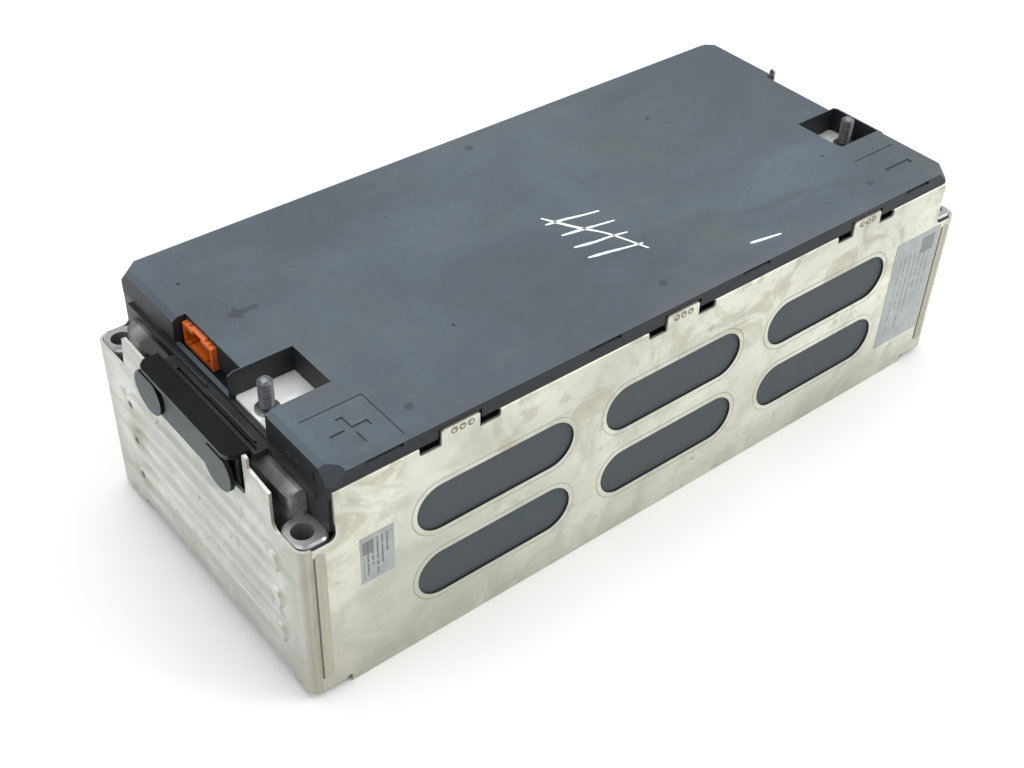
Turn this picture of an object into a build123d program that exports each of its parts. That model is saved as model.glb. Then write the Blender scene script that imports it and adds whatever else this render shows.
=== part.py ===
from build123d import *
import os

os.makedirs("parts", exist_ok=True)

# Battery module: twelve pouch cells stand side by side across Y, with their tabs at the -X and
# +X ends.  Sheet metal wraps the stack, cast blocks close its ends, and a plastic cover lies on
# top.  Millimetres; the origin is the middle of the underside, X runs along the length.

# ---- driving dimensions -------------------------------------------------------------------
LENGTH = 355.0            # over the end sheets
WIDTH = 151.5             # over the side plates
COVER_TOP = 108.5         # top face of the cover above the underside
PLATE_TOP = 100.2         # top edge of the side plates
FIT = 0.3                 # clearance between pieces that only locate one another

# ---- side plates --------------------------------------------------------------------------
SIDE_T = 1.0              # sheet thickness
SEAM_INSET = 5.0          # weld seam to the end sheet, from the end face
FLANGE_W = 2.6            # top edge folded inwards
WINDOW_L = 74.4           # rounded windows over the side pads
WINDOW_H = 22.1
WINDOW_PITCH = 91.3       # along X
WINDOW_LOW_Z = 33.0
WINDOW_HIGH_Z = 67.5
TAB_W = 17.0              # welding tabs on the top edge
TAB_PITCH = 108.8
TAB_RISE = 3.7            # above the plate's top edge
RELIEF_W = 9.6            # notches beside each tab
RELIEF_DEPTH = 3.2
CORNER_CUT_X = 15.0       # corner window above the boss, from the end face
CORNER_CUT_Z = 78.6       # its lower edge
FOOT_RAISE = 2.8          # the plate's ends stand clear of the floor by this
FOOT_X = 17.9             # from the end face to that step

# ---- end sheets ---------------------------------------------------------------------------
END_T = 1.2
CORNER_R = 5.0            # bend round the vertical corners
SHEET_TOP = 96.8          # top of the two flanks beside the clip
CLIP_GAP_Y = (-41.5, 31.6)  # gap between the flanks, where the clip stands
CLIP_GAP_Z = 81.0
FLANK_NEAR_Y = 58.4       # outer edge of the flank on the connector's far side
FLANK_FAR_Y = 50.5        # outer edge of the other flank
LIP_W = 3.0               # curled lip on the inner edge of the first flank
LIP_RISE = 4.6
BEAD_Z = (24.0, 43.0, 62.0)
BEAD_H = 13.0
BEAD_DEPTH = 1.2          # beads stand out of the flat sheet by this
BEAD_TAPER = 30
BEAD_FROM_Y = -62.0
BEAD_TO_Y = 53.0
SHEET_LIFT = 6.2          # lower edge between the corners

# ---- cast end blocks ----------------------------------------------------------------------
BLOCK_WALL_OUT = 6.5      # outer face of the wall, in from the end face
BLOCK_WALL_IN = 17.7      # inner face
BLOCK_TOP = 92.0
BLOCK_HALF_Y = 60.0       # half width of the tall part of the wall
BLOCK_BEVEL = (4.2, 2.4)  # along X and Z
BLOCK_CORNER_R = 3.0
BOSS_CORNER_R = 4.5
BOSS_TOP = 80.0
BOSS_SIZE_X = 13.6
BOSS_SIZE_Y = 15.4
BORE_R = 4.25             # M8 clearance
BORE_INSET_X = 7.0        # bore axis, in from the end face
BORE_INSET_Y = 8.85       # bore axis, in from the side face
RIB_T = 2.4
RIB_COUNT = 7
RIB_PITCH = 15.0
RIB_TOP = 72.0

# ---- plastic end faces, busbar frames -----------------------------------------------------
FACE_X = 13.9             # flush end face of cover and frame, in from the end sheet
FACE_T = 2.0
COVER_SEAM_Z = 96.2       # joint between cover and frame on the end face
FRAME_WEB_X = 27.5        # outer face of the tab frame, in from the end sheet
FRAME_WEB_T = 3.0
SHELF_T = 2.0
SHELF_IN = 43.5           # inner edge of the shelf, in from the end sheet
LEDGE_FROM_Y = -38.0
LEDGE_TO_Y = 28.0
LEDGE_RIBS = ((9.8, (-33.0, -1.0)), (11.4, (4.0, 44.0)))   # in from the end sheet, and Y range
RIB_LINE = 0.8

# ---- cells and pads -----------------------------------------------------------------------
CELL_COUNT = 12
GROUP = 4                 # cells in parallel in each of the three groups
SPACER_T = 1.2
SIDE_PAD_T = 2.0
BASE_T = 1.5
PAD_T = 1.5
CELL_TOP = 91.5
CELL_END = 33.5           # end of the pouch body, in from the end sheet
TERRACE_L = 2.5
TERRACE_T = 1.4
TAB_T = 0.6
TAB_Z = (22.0, 70.0)
SLOT_CLEAR = 0.3
TRAY_T = 1.2              # wall of the trays over the busbars

# ---- busbars and terminals ----------------------------------------------------------------
BAR_T = 2.0
BAR_Z = (17.0, 75.0)
BAR_MARGIN = 0.8          # bars stop this far short of the middle between two groups
STRAP_Z = (79.0, 90.0)
TERMINAL_Z = 97.0         # top face of the terminal plates
TERMINAL_Y = -22.2        # centre of both terminal pockets
STUD_X = 22.0             # stud axis, in from the end sheet
STUD_R = 3.0              # M6
STUD_TOP = 111.0
STUD_FLANGE_R = 4.8
STUD_FLANGE_T = 1.2
SHANK_R = 3.4

# ---- cover --------------------------------------------------------------------------------
COVER_T = 2.0
COVER_GAP_Y = 0.5         # skirt stands in from the side plate's face
BEVEL_IN = 2.4            # bevel along the top edges
BEVEL_DOWN = 1.5
CORNER_LEG = 5.0          # corner cut of the cover, in plan
POCKET_X = 41.4           # inner wall of the terminal pocket, in from the end sheet
POCKET_HALF_Y = 12.8
POCKET_WALL = 1.6
NOTCH_Y = (-9.0, 31.0)    # recess above the connector
NOTCH_X = 19.7            # its back wall, in from the end sheet
SNAP_W = 15.6             # snap windows in the skirt
SNAP_H = 1.9
SNAP_X = (40.5, 141.0)
MARK_Y = -60.8            # centre line of the two polarity marks
MARK_X = 32.5             # their centres, in from the end sheet
MARK_L = 15.6
MARK_W = 3.0
MARK_DEPTH = 0.5
PANEL_L = 25.4            # outline round the polarity marks
PANEL_Y = -47.4
PANEL_LINE = 0.6
ARROW_TIP = (30.3, 19.6)  # in from the end sheet, and Y
ARROW_L = 13.8
FACE_SLOTS = ((-49.0, 2.6, (99.6, 100.8)), (-54.5, 2.6, (99.6, 100.8)), (-65.5, 0.9, (98.4, 103.0)))
FACE_SLOT_D = 0.9         # depth of the short slots in the cover's end face

# ---- connector, board and clip ------------------------------------------------------------
BOARD_T = 0.8
BOARD_Y = (9.0, 30.0)
BOARD_BACK = 9.0          # its ends stop this far behind the end faces
CONN_Y = (8.6, 30.2)
CONN_FRONT = 17.5         # mouth of the header, in from the end sheet
CONN_LENGTH = 20.0
CONN_TOP = 106.2
CONN_WALL = 1.5
CONN_DEPTH = 12.0
CLIP_Y = (-36.0, 31.0)
CLIP_OUT = 3.0            # how far its top plate stands out past the end sheet
CLIP_TOP = 96.0
CLIP_T = 2.0
APRON_LOW = 78.6
EAR_LOW = 77.6
EAR_W = 20.0
EAR_T = 1.8

# ---- labels -------------------------------------------------------------------------------
LABEL_T = 0.15
SMALL_LABEL = (-146.0, 60.5, 14.5, 23.0)      # X, Z, width, height
LARGE_LABEL = (151.4, 48.0, 30.4, 58.6)

# ---- values worked out from the dimensions above ------------------------------------------
HALF_L = LENGTH / 2
HALF_W = WIDTH / 2
INNER_HALF_W = HALF_W - SIDE_T
STACK_HALF_W = INNER_HALF_W - SIDE_PAD_T
CELL_T = (2 * STACK_HALF_W - (CELL_COUNT - 1) * SPACER_T) / CELL_COUNT
CELL_PITCH = CELL_T + SPACER_T
CELL_FLOOR = BASE_T + PAD_T
SHELF_Z = TERMINAL_Z - BAR_T - SHELF_T
FACE_HALF_L = HALF_L - FACE_X
COVER_HALF_W = HALF_W - COVER_GAP_Y
SKIRT_Z = PLATE_TOP + FIT
FRAME_OUT = HALF_L - FRAME_WEB_X
BAR_IN = FRAME_OUT + FIT
BAR_OUT = BAR_IN + BAR_T
TRAY_OUT = HALF_L - BLOCK_WALL_IN - FIT
BORE_X = HALF_L - BORE_INSET_X
BORE_Y = HALF_W - BORE_INSET_Y
ROD_X = HALF_L - STUD_X
BOSS_X = HALF_L - END_T - 0.1 - BOSS_SIZE_X / 2
BOSS_Y = HALF_W - END_T - 0.1 - BOSS_SIZE_Y / 2


def block(x, y, z):
    """A box from its three ranges, each given as a pair of ends."""
    size = (max(x) - min(x), max(y) - min(y), max(z) - min(z))
    return Pos(sum(x) / 2, sum(y) / 2, sum(z) / 2) * Box(*size)


def rear(shape):
    """The same piece turned to the other end of the module."""
    return Rot(0, 0, 180) * shape


def across(shape):
    """The same piece mirrored to the +X end."""
    return mirror(shape, Plane.YZ)


def slot_prism(length, height, depth, taper=0):
    """A prism of rounded-slot section, long axis X, rising in Z from the ground plane."""
    return extrude(SlotOverall(length, height), depth, taper=taper)


def save(name, shape):
    """Writes one node."""
    export_step(shape, "parts/" + name + ".step")


def cell_y(index):
    """Centre of one cell across the stack."""
    return (index - (CELL_COUNT - 1) / 2) * CELL_PITCH


# ---- sheet metal --------------------------------------------------------------------------
def base_plate():
    """Aluminium cooling plate between the side plates, with a shallow pan for the pads."""
    half_x = HALF_L - FOOT_X
    plate = extrude(RectangleRounded(2 * half_x, 2 * INNER_HALF_W, 3), BASE_T)
    rim = plate - block((4 - half_x, half_x - 4), (4 - INNER_HALF_W, INNER_HALF_W - 4), (BASE_T / 2, 5))
    pan = block((4 - half_x, half_x - 4), (4 - INNER_HALF_W, INNER_HALF_W - 4), (0, BASE_T))
    return rim + pan


def side_plate():
    """The -Y side plate: folded top edge, six windows, three welding tabs, raised ends."""
    seam_x = HALF_L - SEAM_INSET
    outer = -HALF_W
    plate = block((-seam_x, seam_x), (outer, outer + SIDE_T), (0, PLATE_TOP))
    flange_x = HALF_L - CORNER_CUT_X - 2
    plate += block((-flange_x, flange_x), (outer, outer + FLANGE_W), (PLATE_TOP - SIDE_T, PLATE_TOP))
    plate = fillet(plate.edges().filter_by(Axis.X).group_by(Axis.Z)[-1].sort_by(Axis.Y)[0], SIDE_T * 0.8)
    cut_x = HALF_L - CORNER_CUT_X
    for side in (-1, 1):
        corner = Pos(side * (cut_x + 20), outer, CORNER_CUT_Z + 20) * Box(40, 10, 40)
        corner = fillet(corner.edges().filter_by(Axis.Y), 3)
        plate -= corner
        foot_x = HALF_L - FOOT_X
        plate -= block((side * foot_x, side * HALF_L), (outer - 1, outer + 5), (-1, FOOT_RAISE))
        plate -= Pos(side * (foot_x + 1), outer, FOOT_RAISE) * Rot(90, 0, 0) * Cylinder(1.2, 10)
    for column in (-1, 0, 1):
        for z in (WINDOW_LOW_Z, WINDOW_HIGH_Z):
            window = slot_prism(WINDOW_L, WINDOW_H, 10)
            plate -= Pos(column * WINDOW_PITCH, outer + 5, z) * Rot(90, 0, 0) * window
        x = column * TAB_PITCH
        half = TAB_W / 2 + RELIEF_W
        notch = Pos(x, outer, PLATE_TOP) * Box(2 * half, 10, 2 * RELIEF_DEPTH)
        plate -= fillet(notch.edges().filter_by(Axis.Y), 1.2)
        tab_z = (PLATE_TOP - RELIEF_DEPTH, PLATE_TOP + TAB_RISE)
        tab = block((x - TAB_W / 2, x + TAB_W / 2), (outer, outer + SIDE_T), tab_z)
        tab = chamfer(tab.edges().filter_by(Axis.Y).group_by(Axis.Z)[-1], 0.8)
        plate += tab
    return plate


def end_sheet():
    """The -X end sheet: wraps both corners, with beads and two flanks beside the clip."""
    outline = RectangleRounded(LENGTH, WIDTH, CORNER_R)
    outline -= RectangleRounded(LENGTH - 2 * END_T, WIDTH - 2 * END_T, CORNER_R - END_T)
    outline = outline & Pos(-HALF_L, 0) * Rectangle(2 * SEAM_INSET, WIDTH + 2)
    sheet = Pos(0, 0, FOOT_RAISE) * extrude(outline, SHEET_TOP - FOOT_RAISE)
    through = (-HALF_L - 1, -HALF_L + 2 * SEAM_INSET)
    near = -HALF_W - 1
    for low, high in ((near, -FLANK_NEAR_Y), (FLANK_FAR_Y, -near)):
        notch = block(through, (low, high), (CORNER_CUT_Z, SHEET_TOP + 1))
        inner_edges = notch.edges().filter_by(Axis.X).group_by(Axis.Z)[0]
        inner = inner_edges.sort_by(Axis.Y)[-1 if low == near else 0]
        sheet -= fillet(inner, 4)
    gap = block(through, CLIP_GAP_Y, (CLIP_GAP_Z, CLIP_GAP_Z + 40))
    sheet -= fillet(gap.edges().filter_by(Axis.X).group_by(Axis.Z)[0], 3)
    crest = Plane.YZ * Polyline(
        (CLIP_GAP_Y[0] - 4, SHEET_TOP + 1),
        (CLIP_GAP_Y[0] - 4, SHEET_TOP),
        (-FLANK_NEAR_Y - 1, SHEET_TOP - 1.6),
        (-FLANK_NEAR_Y - 1, SHEET_TOP + 1),
        close=True,
    )
    spike = Plane.YZ * Polyline(
        (FLANK_FAR_Y + 1, CORNER_CUT_Z + 3),
        (FLANK_FAR_Y, CORNER_CUT_Z + 3),
        (FLANK_FAR_Y - 2, SHEET_TOP - 2),
        (FLANK_FAR_Y - 4, SHEET_TOP - 0.6),
        (CLIP_GAP_Y[1] - 1, SHEET_TOP - 1.4),
        (CLIP_GAP_Y[1] - 1, SHEET_TOP + 1),
        (FLANK_FAR_Y + 1, SHEET_TOP + 1),
        close=True,
    )
    for waste in (crest, spike):
        sheet -= Pos(-HALF_L - 1, 0, 0) * extrude(make_face(waste), 10, dir=(1, 0, 0))
    lip_y = (CLIP_GAP_Y[0] - LIP_W, CLIP_GAP_Y[0])
    lip = block((-HALF_L, -HALF_L + END_T), lip_y, (SHEET_TOP - 2, SHEET_TOP + LIP_RISE))
    sheet += fillet(lip.edges().filter_by(Axis.X).group_by(Axis.Z)[-1], 1.2)
    lower_half = HALF_W - BORE_INSET_Y - 5
    hem = Plane.YZ * Polyline(
        (-lower_half - 4, 0),
        (-lower_half, SHEET_LIFT),
        (lower_half - 10, SHEET_LIFT),
        (lower_half - 6, 0),
        close=True,
    )
    sheet -= Pos(-HALF_L - 1, 0, 0) * extrude(make_face(hem), 10, dir=(1, 0, 0))
    bead_l = BEAD_TO_Y - BEAD_FROM_Y
    bead_y = (BEAD_TO_Y + BEAD_FROM_Y) / 2
    for z in BEAD_Z:
        seat = Pos(-HALF_L + END_T, bead_y, z) * Rot(0, 0, -90) * Rot(90, 0, 0)
        pan = slot_prism(bead_l, BEAD_H, END_T + BEAD_DEPTH, taper=BEAD_TAPER)
        recess = slot_prism(bead_l - 2 * END_T, BEAD_H - 2 * END_T, BEAD_DEPTH, taper=BEAD_TAPER)
        sheet = sheet + seat * pan - seat * recess
    return sheet


# ---- cast end blocks ----------------------------------------------------------------------
def end_block():
    """The -X casting: a wall with outer ribs and a bored boss column at each corner."""
    wall_out = -HALF_L + BLOCK_WALL_OUT
    wall_in = -HALF_L + BLOCK_WALL_IN
    face_gap = -FACE_HALF_L - FIT
    profile = Plane.XZ * Polyline(
        (wall_in, FOOT_RAISE),
        (wall_in, BOSS_TOP - 0.5),
        (face_gap, BOSS_TOP - 0.5),
        (face_gap, BLOCK_TOP),
        (wall_out + BLOCK_BEVEL[0], BLOCK_TOP),
        (wall_out, BLOCK_TOP - BLOCK_BEVEL[1]),
        (wall_out, FOOT_RAISE),
        close=True,
    )
    casting = extrude(make_face(profile), BLOCK_HALF_Y, both=True)
    ends = casting.edges().filter_by(Axis.Z).group_by(Axis.X)[0]
    casting = fillet(ends, BLOCK_CORNER_R)
    core_x = (wall_out + 3, wall_in - 2.5)
    for side in (-1, 1):
        core = block(core_x, (side * 3, side * (BLOCK_HALF_Y - 4)), (0, BOSS_TOP - 4.5))
        casting -= fillet(core.edges().filter_by(Axis.Z), 2)
    rib_x = (wall_out + 0.1, -HALF_L + END_T + FIT)
    for index in range(RIB_COUNT):
        y = (index - (RIB_COUNT - 1) / 2) * RIB_PITCH
        casting += block(rib_x, (y - RIB_T / 2, y + RIB_T / 2), (SHEET_LIFT, RIB_TOP))
    for side in (-1, 1):
        column = RectangleRounded(BOSS_SIZE_X, BOSS_SIZE_Y, BOSS_CORNER_R)
        column = Pos(-BOSS_X, side * BOSS_Y, FOOT_RAISE) * extrude(column, BOSS_TOP - FOOT_RAISE)
        top = column.faces().sort_by(Axis.Z)[-1]
        casting += chamfer(top.edges(), 0.8)
        bridge_y = (side * (BLOCK_HALF_Y - 3), side * (BOSS_Y + 5))
        casting += block((wall_out, wall_in), bridge_y, (FOOT_RAISE, BOSS_TOP - 8))
    for side in (-1, 1):
        casting -= Pos(-BORE_X, side * BORE_Y, BOSS_TOP / 2) * Cylinder(BORE_R, 2 * BOSS_TOP)
    return casting


# ---- cells and pads -----------------------------------------------------------------------
def thermal_pad():
    """Soft sheet between the base plate and the cells."""
    half_l = HALF_L - CELL_END
    return block((-half_l, half_l), (-STACK_HALF_W, STACK_HALF_W), (BASE_T, CELL_FLOOR))


def cell(index):
    """One sealed pouch: crowned body, thin welded ends and a tab at each end."""
    half_l = HALF_L - CELL_END
    y = cell_y(index)
    body = block((-half_l, half_l), (y - CELL_T / 2, y + CELL_T / 2), (CELL_FLOOR, CELL_TOP))
    body = chamfer(body.edges().filter_by(Axis.Z), CELL_T * 0.3)
    middle = (TAB_Z[0] + TAB_Z[1]) / 2
    height = CELL_TOP - CELL_FLOOR - 8
    terrace_half = half_l + TERRACE_L
    lip = Pos(0, y, middle) * Box(2 * terrace_half, TERRACE_T, height)
    tab = block((-BAR_OUT - 0.8, BAR_OUT + 0.8), (y - TAB_T / 2, y + TAB_T / 2), TAB_Z)
    return body + lip + tab


def spacer(index):
    """Foam pad between two neighbouring cells."""
    half_l = HALF_L - CELL_END - 6
    y = cell_y(index) + CELL_PITCH / 2
    return block((-half_l, half_l), (y - SPACER_T / 2, y + SPACER_T / 2), (CELL_FLOOR + 3, CELL_TOP - 3))


def side_pad():
    """Foam pad between the outermost cell and the -Y side plate."""
    half_l = HALF_L - CELL_END - 1
    return block((-half_l, half_l), (-INNER_HALF_W, -STACK_HALF_W), (CELL_FLOOR, CELL_TOP + 2))


# ---- tab frames, trays, busbars -----------------------------------------------------------
def tab_frame():
    """The -X frame: a slotted web, a shelf for the terminal plate and the flush end face."""
    web_half_y = INNER_HALF_W - FIT
    face_half_y = COVER_HALF_W - COVER_T
    web = block((-FRAME_OUT, -FRAME_OUT + FRAME_WEB_T), (-web_half_y, web_half_y), (CELL_FLOOR, SHELF_Z + 1))
    for index in range(CELL_COUNT):
        y = cell_y(index)
        half = TAB_T / 2 + SLOT_CLEAR
        slot_z = (TAB_Z[0] - 1, TAB_Z[1] + 1)
        web -= block((-FRAME_OUT - 1, -FRAME_OUT + 5), (y - half, y + half), slot_z)
    shelf_y = (-INNER_HALF_W + FLANGE_W + 1, INNER_HALF_W - FLANGE_W - 1)
    shelf = block((-FACE_HALF_L, -HALF_L + SHELF_IN), shelf_y, (SHELF_Z, SHELF_Z + SHELF_T))
    face_x = (-FACE_HALF_L, -FACE_HALF_L + FACE_T)
    face = block(face_x, (-face_half_y, face_half_y), (BOSS_TOP + FIT, COVER_SEAM_Z))
    cheek_x = (-FACE_HALF_L, -HALF_L + CORNER_CUT_X + 1.5)
    for side in (-1, 1):
        cheek_y = (side * (face_half_y - 3), side * (COVER_HALF_W - 1))
        cheek = block(cheek_x, cheek_y, (BOSS_TOP + FIT, COVER_SEAM_Z))
        outer = cheek.edges().filter_by(Axis.Z).sort_by(Axis.X)[:2].sort_by(Axis.Y)
        face += chamfer(outer[-1 if side > 0 else 0], 2.5)
    ledge_x = (-HALF_L + BLOCK_WALL_OUT + FIT, -FACE_HALF_L)
    ledge = block(ledge_x, (LEDGE_FROM_Y, LEDGE_TO_Y), (BLOCK_TOP + FIT, BLOCK_TOP + 2.8))
    rail_y = (-face_half_y + 6, face_half_y - 6)
    rail = block((-FACE_HALF_L - 1.6, -FACE_HALF_L), rail_y, (BLOCK_TOP + FIT, COVER_SEAM_Z - 1.4))
    groove_x = (ledge_x[0] + 1.2, ledge_x[0] + 2.4)
    groove = block(groove_x, (LEDGE_FROM_Y + 2, LEDGE_TO_Y - 8), (BLOCK_TOP + 1.6, BLOCK_TOP + 4))
    neck_y = (TERMINAL_Y - POCKET_HALF_Y - 1, TERMINAL_Y + POCKET_HALF_Y + 1)
    neck = block((-BAR_OUT - FIT, -BAR_IN + FIT), neck_y, (SHELF_Z - 5, SHELF_Z + 10))
    frame = web + shelf + face + ledge + rail
    for rib_x, rib_y in LEDGE_RIBS:
        low = -HALF_L + rib_x
        frame += block((low, low + RIB_LINE), rib_y, (BLOCK_TOP + 2, BLOCK_TOP + 3.8))
    return frame - groove - neck


def rear_tab_frame():
    """The +X frame, a mirror image, so that its terminal shelf is on the same side."""
    return across(tab_frame())


def end_tray():
    """Plastic tray that covers the busbars of the -X end, open towards the frame and the top."""
    half_y = INNER_HALF_W - FIT
    tray_z = (CELL_FLOOR + 2, BOSS_TOP - 3)
    tray = block((-TRAY_OUT, -FRAME_OUT), (-half_y, half_y), tray_z)
    inner_z = (tray_z[0] + TRAY_T, tray_z[1] + 1)
    hollow = block((-TRAY_OUT + TRAY_T, -FRAME_OUT + 5), (TRAY_T - half_y, half_y - TRAY_T), inner_z)
    return tray - hollow


def bar(first, last):
    """Copper bar on the -X frame that joins the tabs of the cells first to last."""
    edge = CELL_PITCH / 2 - BAR_MARGIN
    low = cell_y(first) - edge
    high = cell_y(last) + edge
    plate = block((-BAR_OUT, -BAR_IN), (low, high), BAR_Z)
    for index in range(first, last + 1):
        half = TAB_T / 2 + SLOT_CLEAR
        y = cell_y(index)
        plate -= block((-BAR_OUT - 1, -BAR_IN + 1), (y - half, y + half), (TAB_Z[0] - 1, TAB_Z[1] + 1))
    return plate


def terminal_top():
    """Horizontal plate in the -X pocket with its neck and the hole for the stud."""
    plate_x = (-HALF_L + FACE_X + FACE_T + 0.2, -HALF_L + SHELF_IN)
    plate_y = (TERMINAL_Y - POCKET_HALF_Y - 0.8, TERMINAL_Y + POCKET_HALF_Y + 0.8)
    plate = block(plate_x, plate_y, (TERMINAL_Z - BAR_T, TERMINAL_Z))
    plate = chamfer(plate.edges().filter_by(Axis.Z), 1.5)
    plate += block((-BAR_OUT, -BAR_IN), plate_y, (STRAP_Z[0], TERMINAL_Z - BAR_T / 2))
    return plate - Pos(-ROD_X, TERMINAL_Y, TERMINAL_Z) * Cylinder(SHANK_R, 4 * BAR_T)


def positive_terminal():
    """Terminal plate of the -X end, one piece with the bar of the first four cells."""
    bar_end = cell_y(GROUP - 1) + CELL_PITCH / 2 - BAR_MARGIN
    lift_y = (TERMINAL_Y - POCKET_HALF_Y - 0.8, bar_end)
    lift = block((-BAR_OUT, -BAR_IN), lift_y, (BAR_Z[1] - 1, STRAP_Z[1]))
    return bar(0, GROUP - 1) + terminal_top() + lift


def negative_terminal():
    """Terminal plate of the +X end, strapped across to the bar of the last four cells."""
    strap_y = (TERMINAL_Y - POCKET_HALF_Y - 0.8, cell_y(CELL_COUNT - 1) + 4)
    strap = block((-BAR_OUT, -BAR_IN), strap_y, STRAP_Z)
    lift = block((-BAR_OUT, -BAR_IN), (cell_y(CELL_COUNT - GROUP), strap_y[1]), (BAR_Z[1] - 1, STRAP_Z[1]))
    return across(bar(CELL_COUNT - GROUP, CELL_COUNT - 1) + strap + lift + terminal_top())


def stud():
    """Threaded stud with a flange on the -X terminal plate; its shank fills the plate's hole."""
    rod = Cylinder(STUD_R, STUD_TOP - TERMINAL_Z, align=(Align.CENTER, Align.CENTER, Align.MIN))
    rod = chamfer(rod.edges().filter_by(GeomType.CIRCLE).sort_by(Axis.Z)[-1], 0.8)
    rod += Cylinder(STUD_FLANGE_R, STUD_FLANGE_T, align=(Align.CENTER, Align.CENTER, Align.MIN))
    rod += Cylinder(SHANK_R, BAR_T, align=(Align.CENTER, Align.CENTER, Align.MAX))
    return Pos(-ROD_X, TERMINAL_Y, TERMINAL_Z) * rod


# ---- cover --------------------------------------------------------------------------------
def bevelled_shell():
    """Outer form of the cover: bevelled top edges and cut corners."""
    half_x = FACE_HALF_L
    half_y = COVER_HALF_W
    low = extrude(Rectangle(2 * half_x, 2 * half_y), COVER_TOP - BEVEL_DOWN - COVER_SEAM_Z)
    top_face = low.faces().sort_by(Axis.Z)[-1]
    crown = loft([
        Plane(top_face).location * Rectangle(2 * half_x, 2 * half_y),
        Pos(0, 0, COVER_TOP - COVER_SEAM_Z) * Rectangle(2 * (half_x - BEVEL_IN), 2 * (half_y - BEVEL_IN)),
    ])
    shell = Pos(0, 0, COVER_SEAM_Z) * (low + crown)
    for side_x in (-1, 1):
        for side_y in (-1, 1):
            corner = (side_x * (half_x - 1.0), side_y * (half_y - 1.0), COVER_SEAM_Z + 6)
            slope = Plane(origin=corner, z_dir=(side_x * 1.0, side_y * 1.1, 1.05))
            keep_off = slope * Pos(0, 0, 10) * Box(60, 60, 20)
            shell -= keep_off
            upright = Plane(origin=(side_x * half_x, side_y * half_y, COVER_TOP), z_dir=(side_x, side_y, 0))
            shell -= upright * Pos(0, 0, 10 - CORNER_LEG / 4) * Box(60, 60, 20)
    return shell


def pocket(end):
    """Wall and void of one terminal pocket, at end -1 or +1."""
    inner = HALF_L - POCKET_X
    outer = FACE_HALF_L + 1
    y = (TERMINAL_Y - POCKET_HALF_Y, TERMINAL_Y + POCKET_HALF_Y)
    wall_y = (y[0] - POCKET_WALL, y[1] + POCKET_WALL)
    floor = TERMINAL_Z + FIT
    wall = block((end * (inner - POCKET_WALL), end * FACE_HALF_L), wall_y, (floor, COVER_TOP - 1))
    reach = outer if end < 0 else FACE_HALF_L - FACE_T
    void = block((end * inner, end * reach), y, (floor - 5, COVER_TOP + 1))
    return wall, void


def polarity_marks():
    """Sunk plus and minus with the thin outlines round them, and the sunk arrow."""
    deep = (COVER_TOP - MARK_DEPTH, COVER_TOP + 1)
    half = MARK_L / 2
    left = -HALF_L + MARK_X
    right = HALF_L - MARK_X
    marks = []
    for x in (left, right):
        marks.append(block((x - half, x + half), (MARK_Y - MARK_W / 2, MARK_Y + MARK_W / 2), deep))
    marks.append(block((left - MARK_W / 2, left + MARK_W / 2), (MARK_Y - half, MARK_Y + half), deep))
    line = (COVER_TOP - 0.3, COVER_TOP + 1)
    for end in (-1, 1):
        start = end * (FACE_HALF_L - 6.5)
        stop = end * (FACE_HALF_L - 6.5 - PANEL_L)
        marks.append(block((start, stop), (PANEL_Y, PANEL_Y + PANEL_LINE), line))
    edge = -FACE_HALF_L + 6.5 + PANEL_L
    marks.append(block((edge, edge + PANEL_LINE), (-COVER_HALF_W - 1, PANEL_Y + PANEL_LINE), line))
    tip_x = -HALF_L + ARROW_TIP[0]
    arrow = Polyline(
        (tip_x, ARROW_TIP[1]),
        (tip_x + 6, ARROW_TIP[1] + 3.6),
        (tip_x + 6, ARROW_TIP[1] + 1.3),
        (tip_x + ARROW_L, ARROW_TIP[1] + 1.3),
        (tip_x + ARROW_L, ARROW_TIP[1] - 1.3),
        (tip_x + 6, ARROW_TIP[1] - 1.3),
        (tip_x + 6, ARROW_TIP[1] - 3.6),
        close=True,
    )
    marks.append(Pos(0, 0, COVER_TOP - 0.3) * extrude(make_face(arrow), 2))
    return marks


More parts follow.
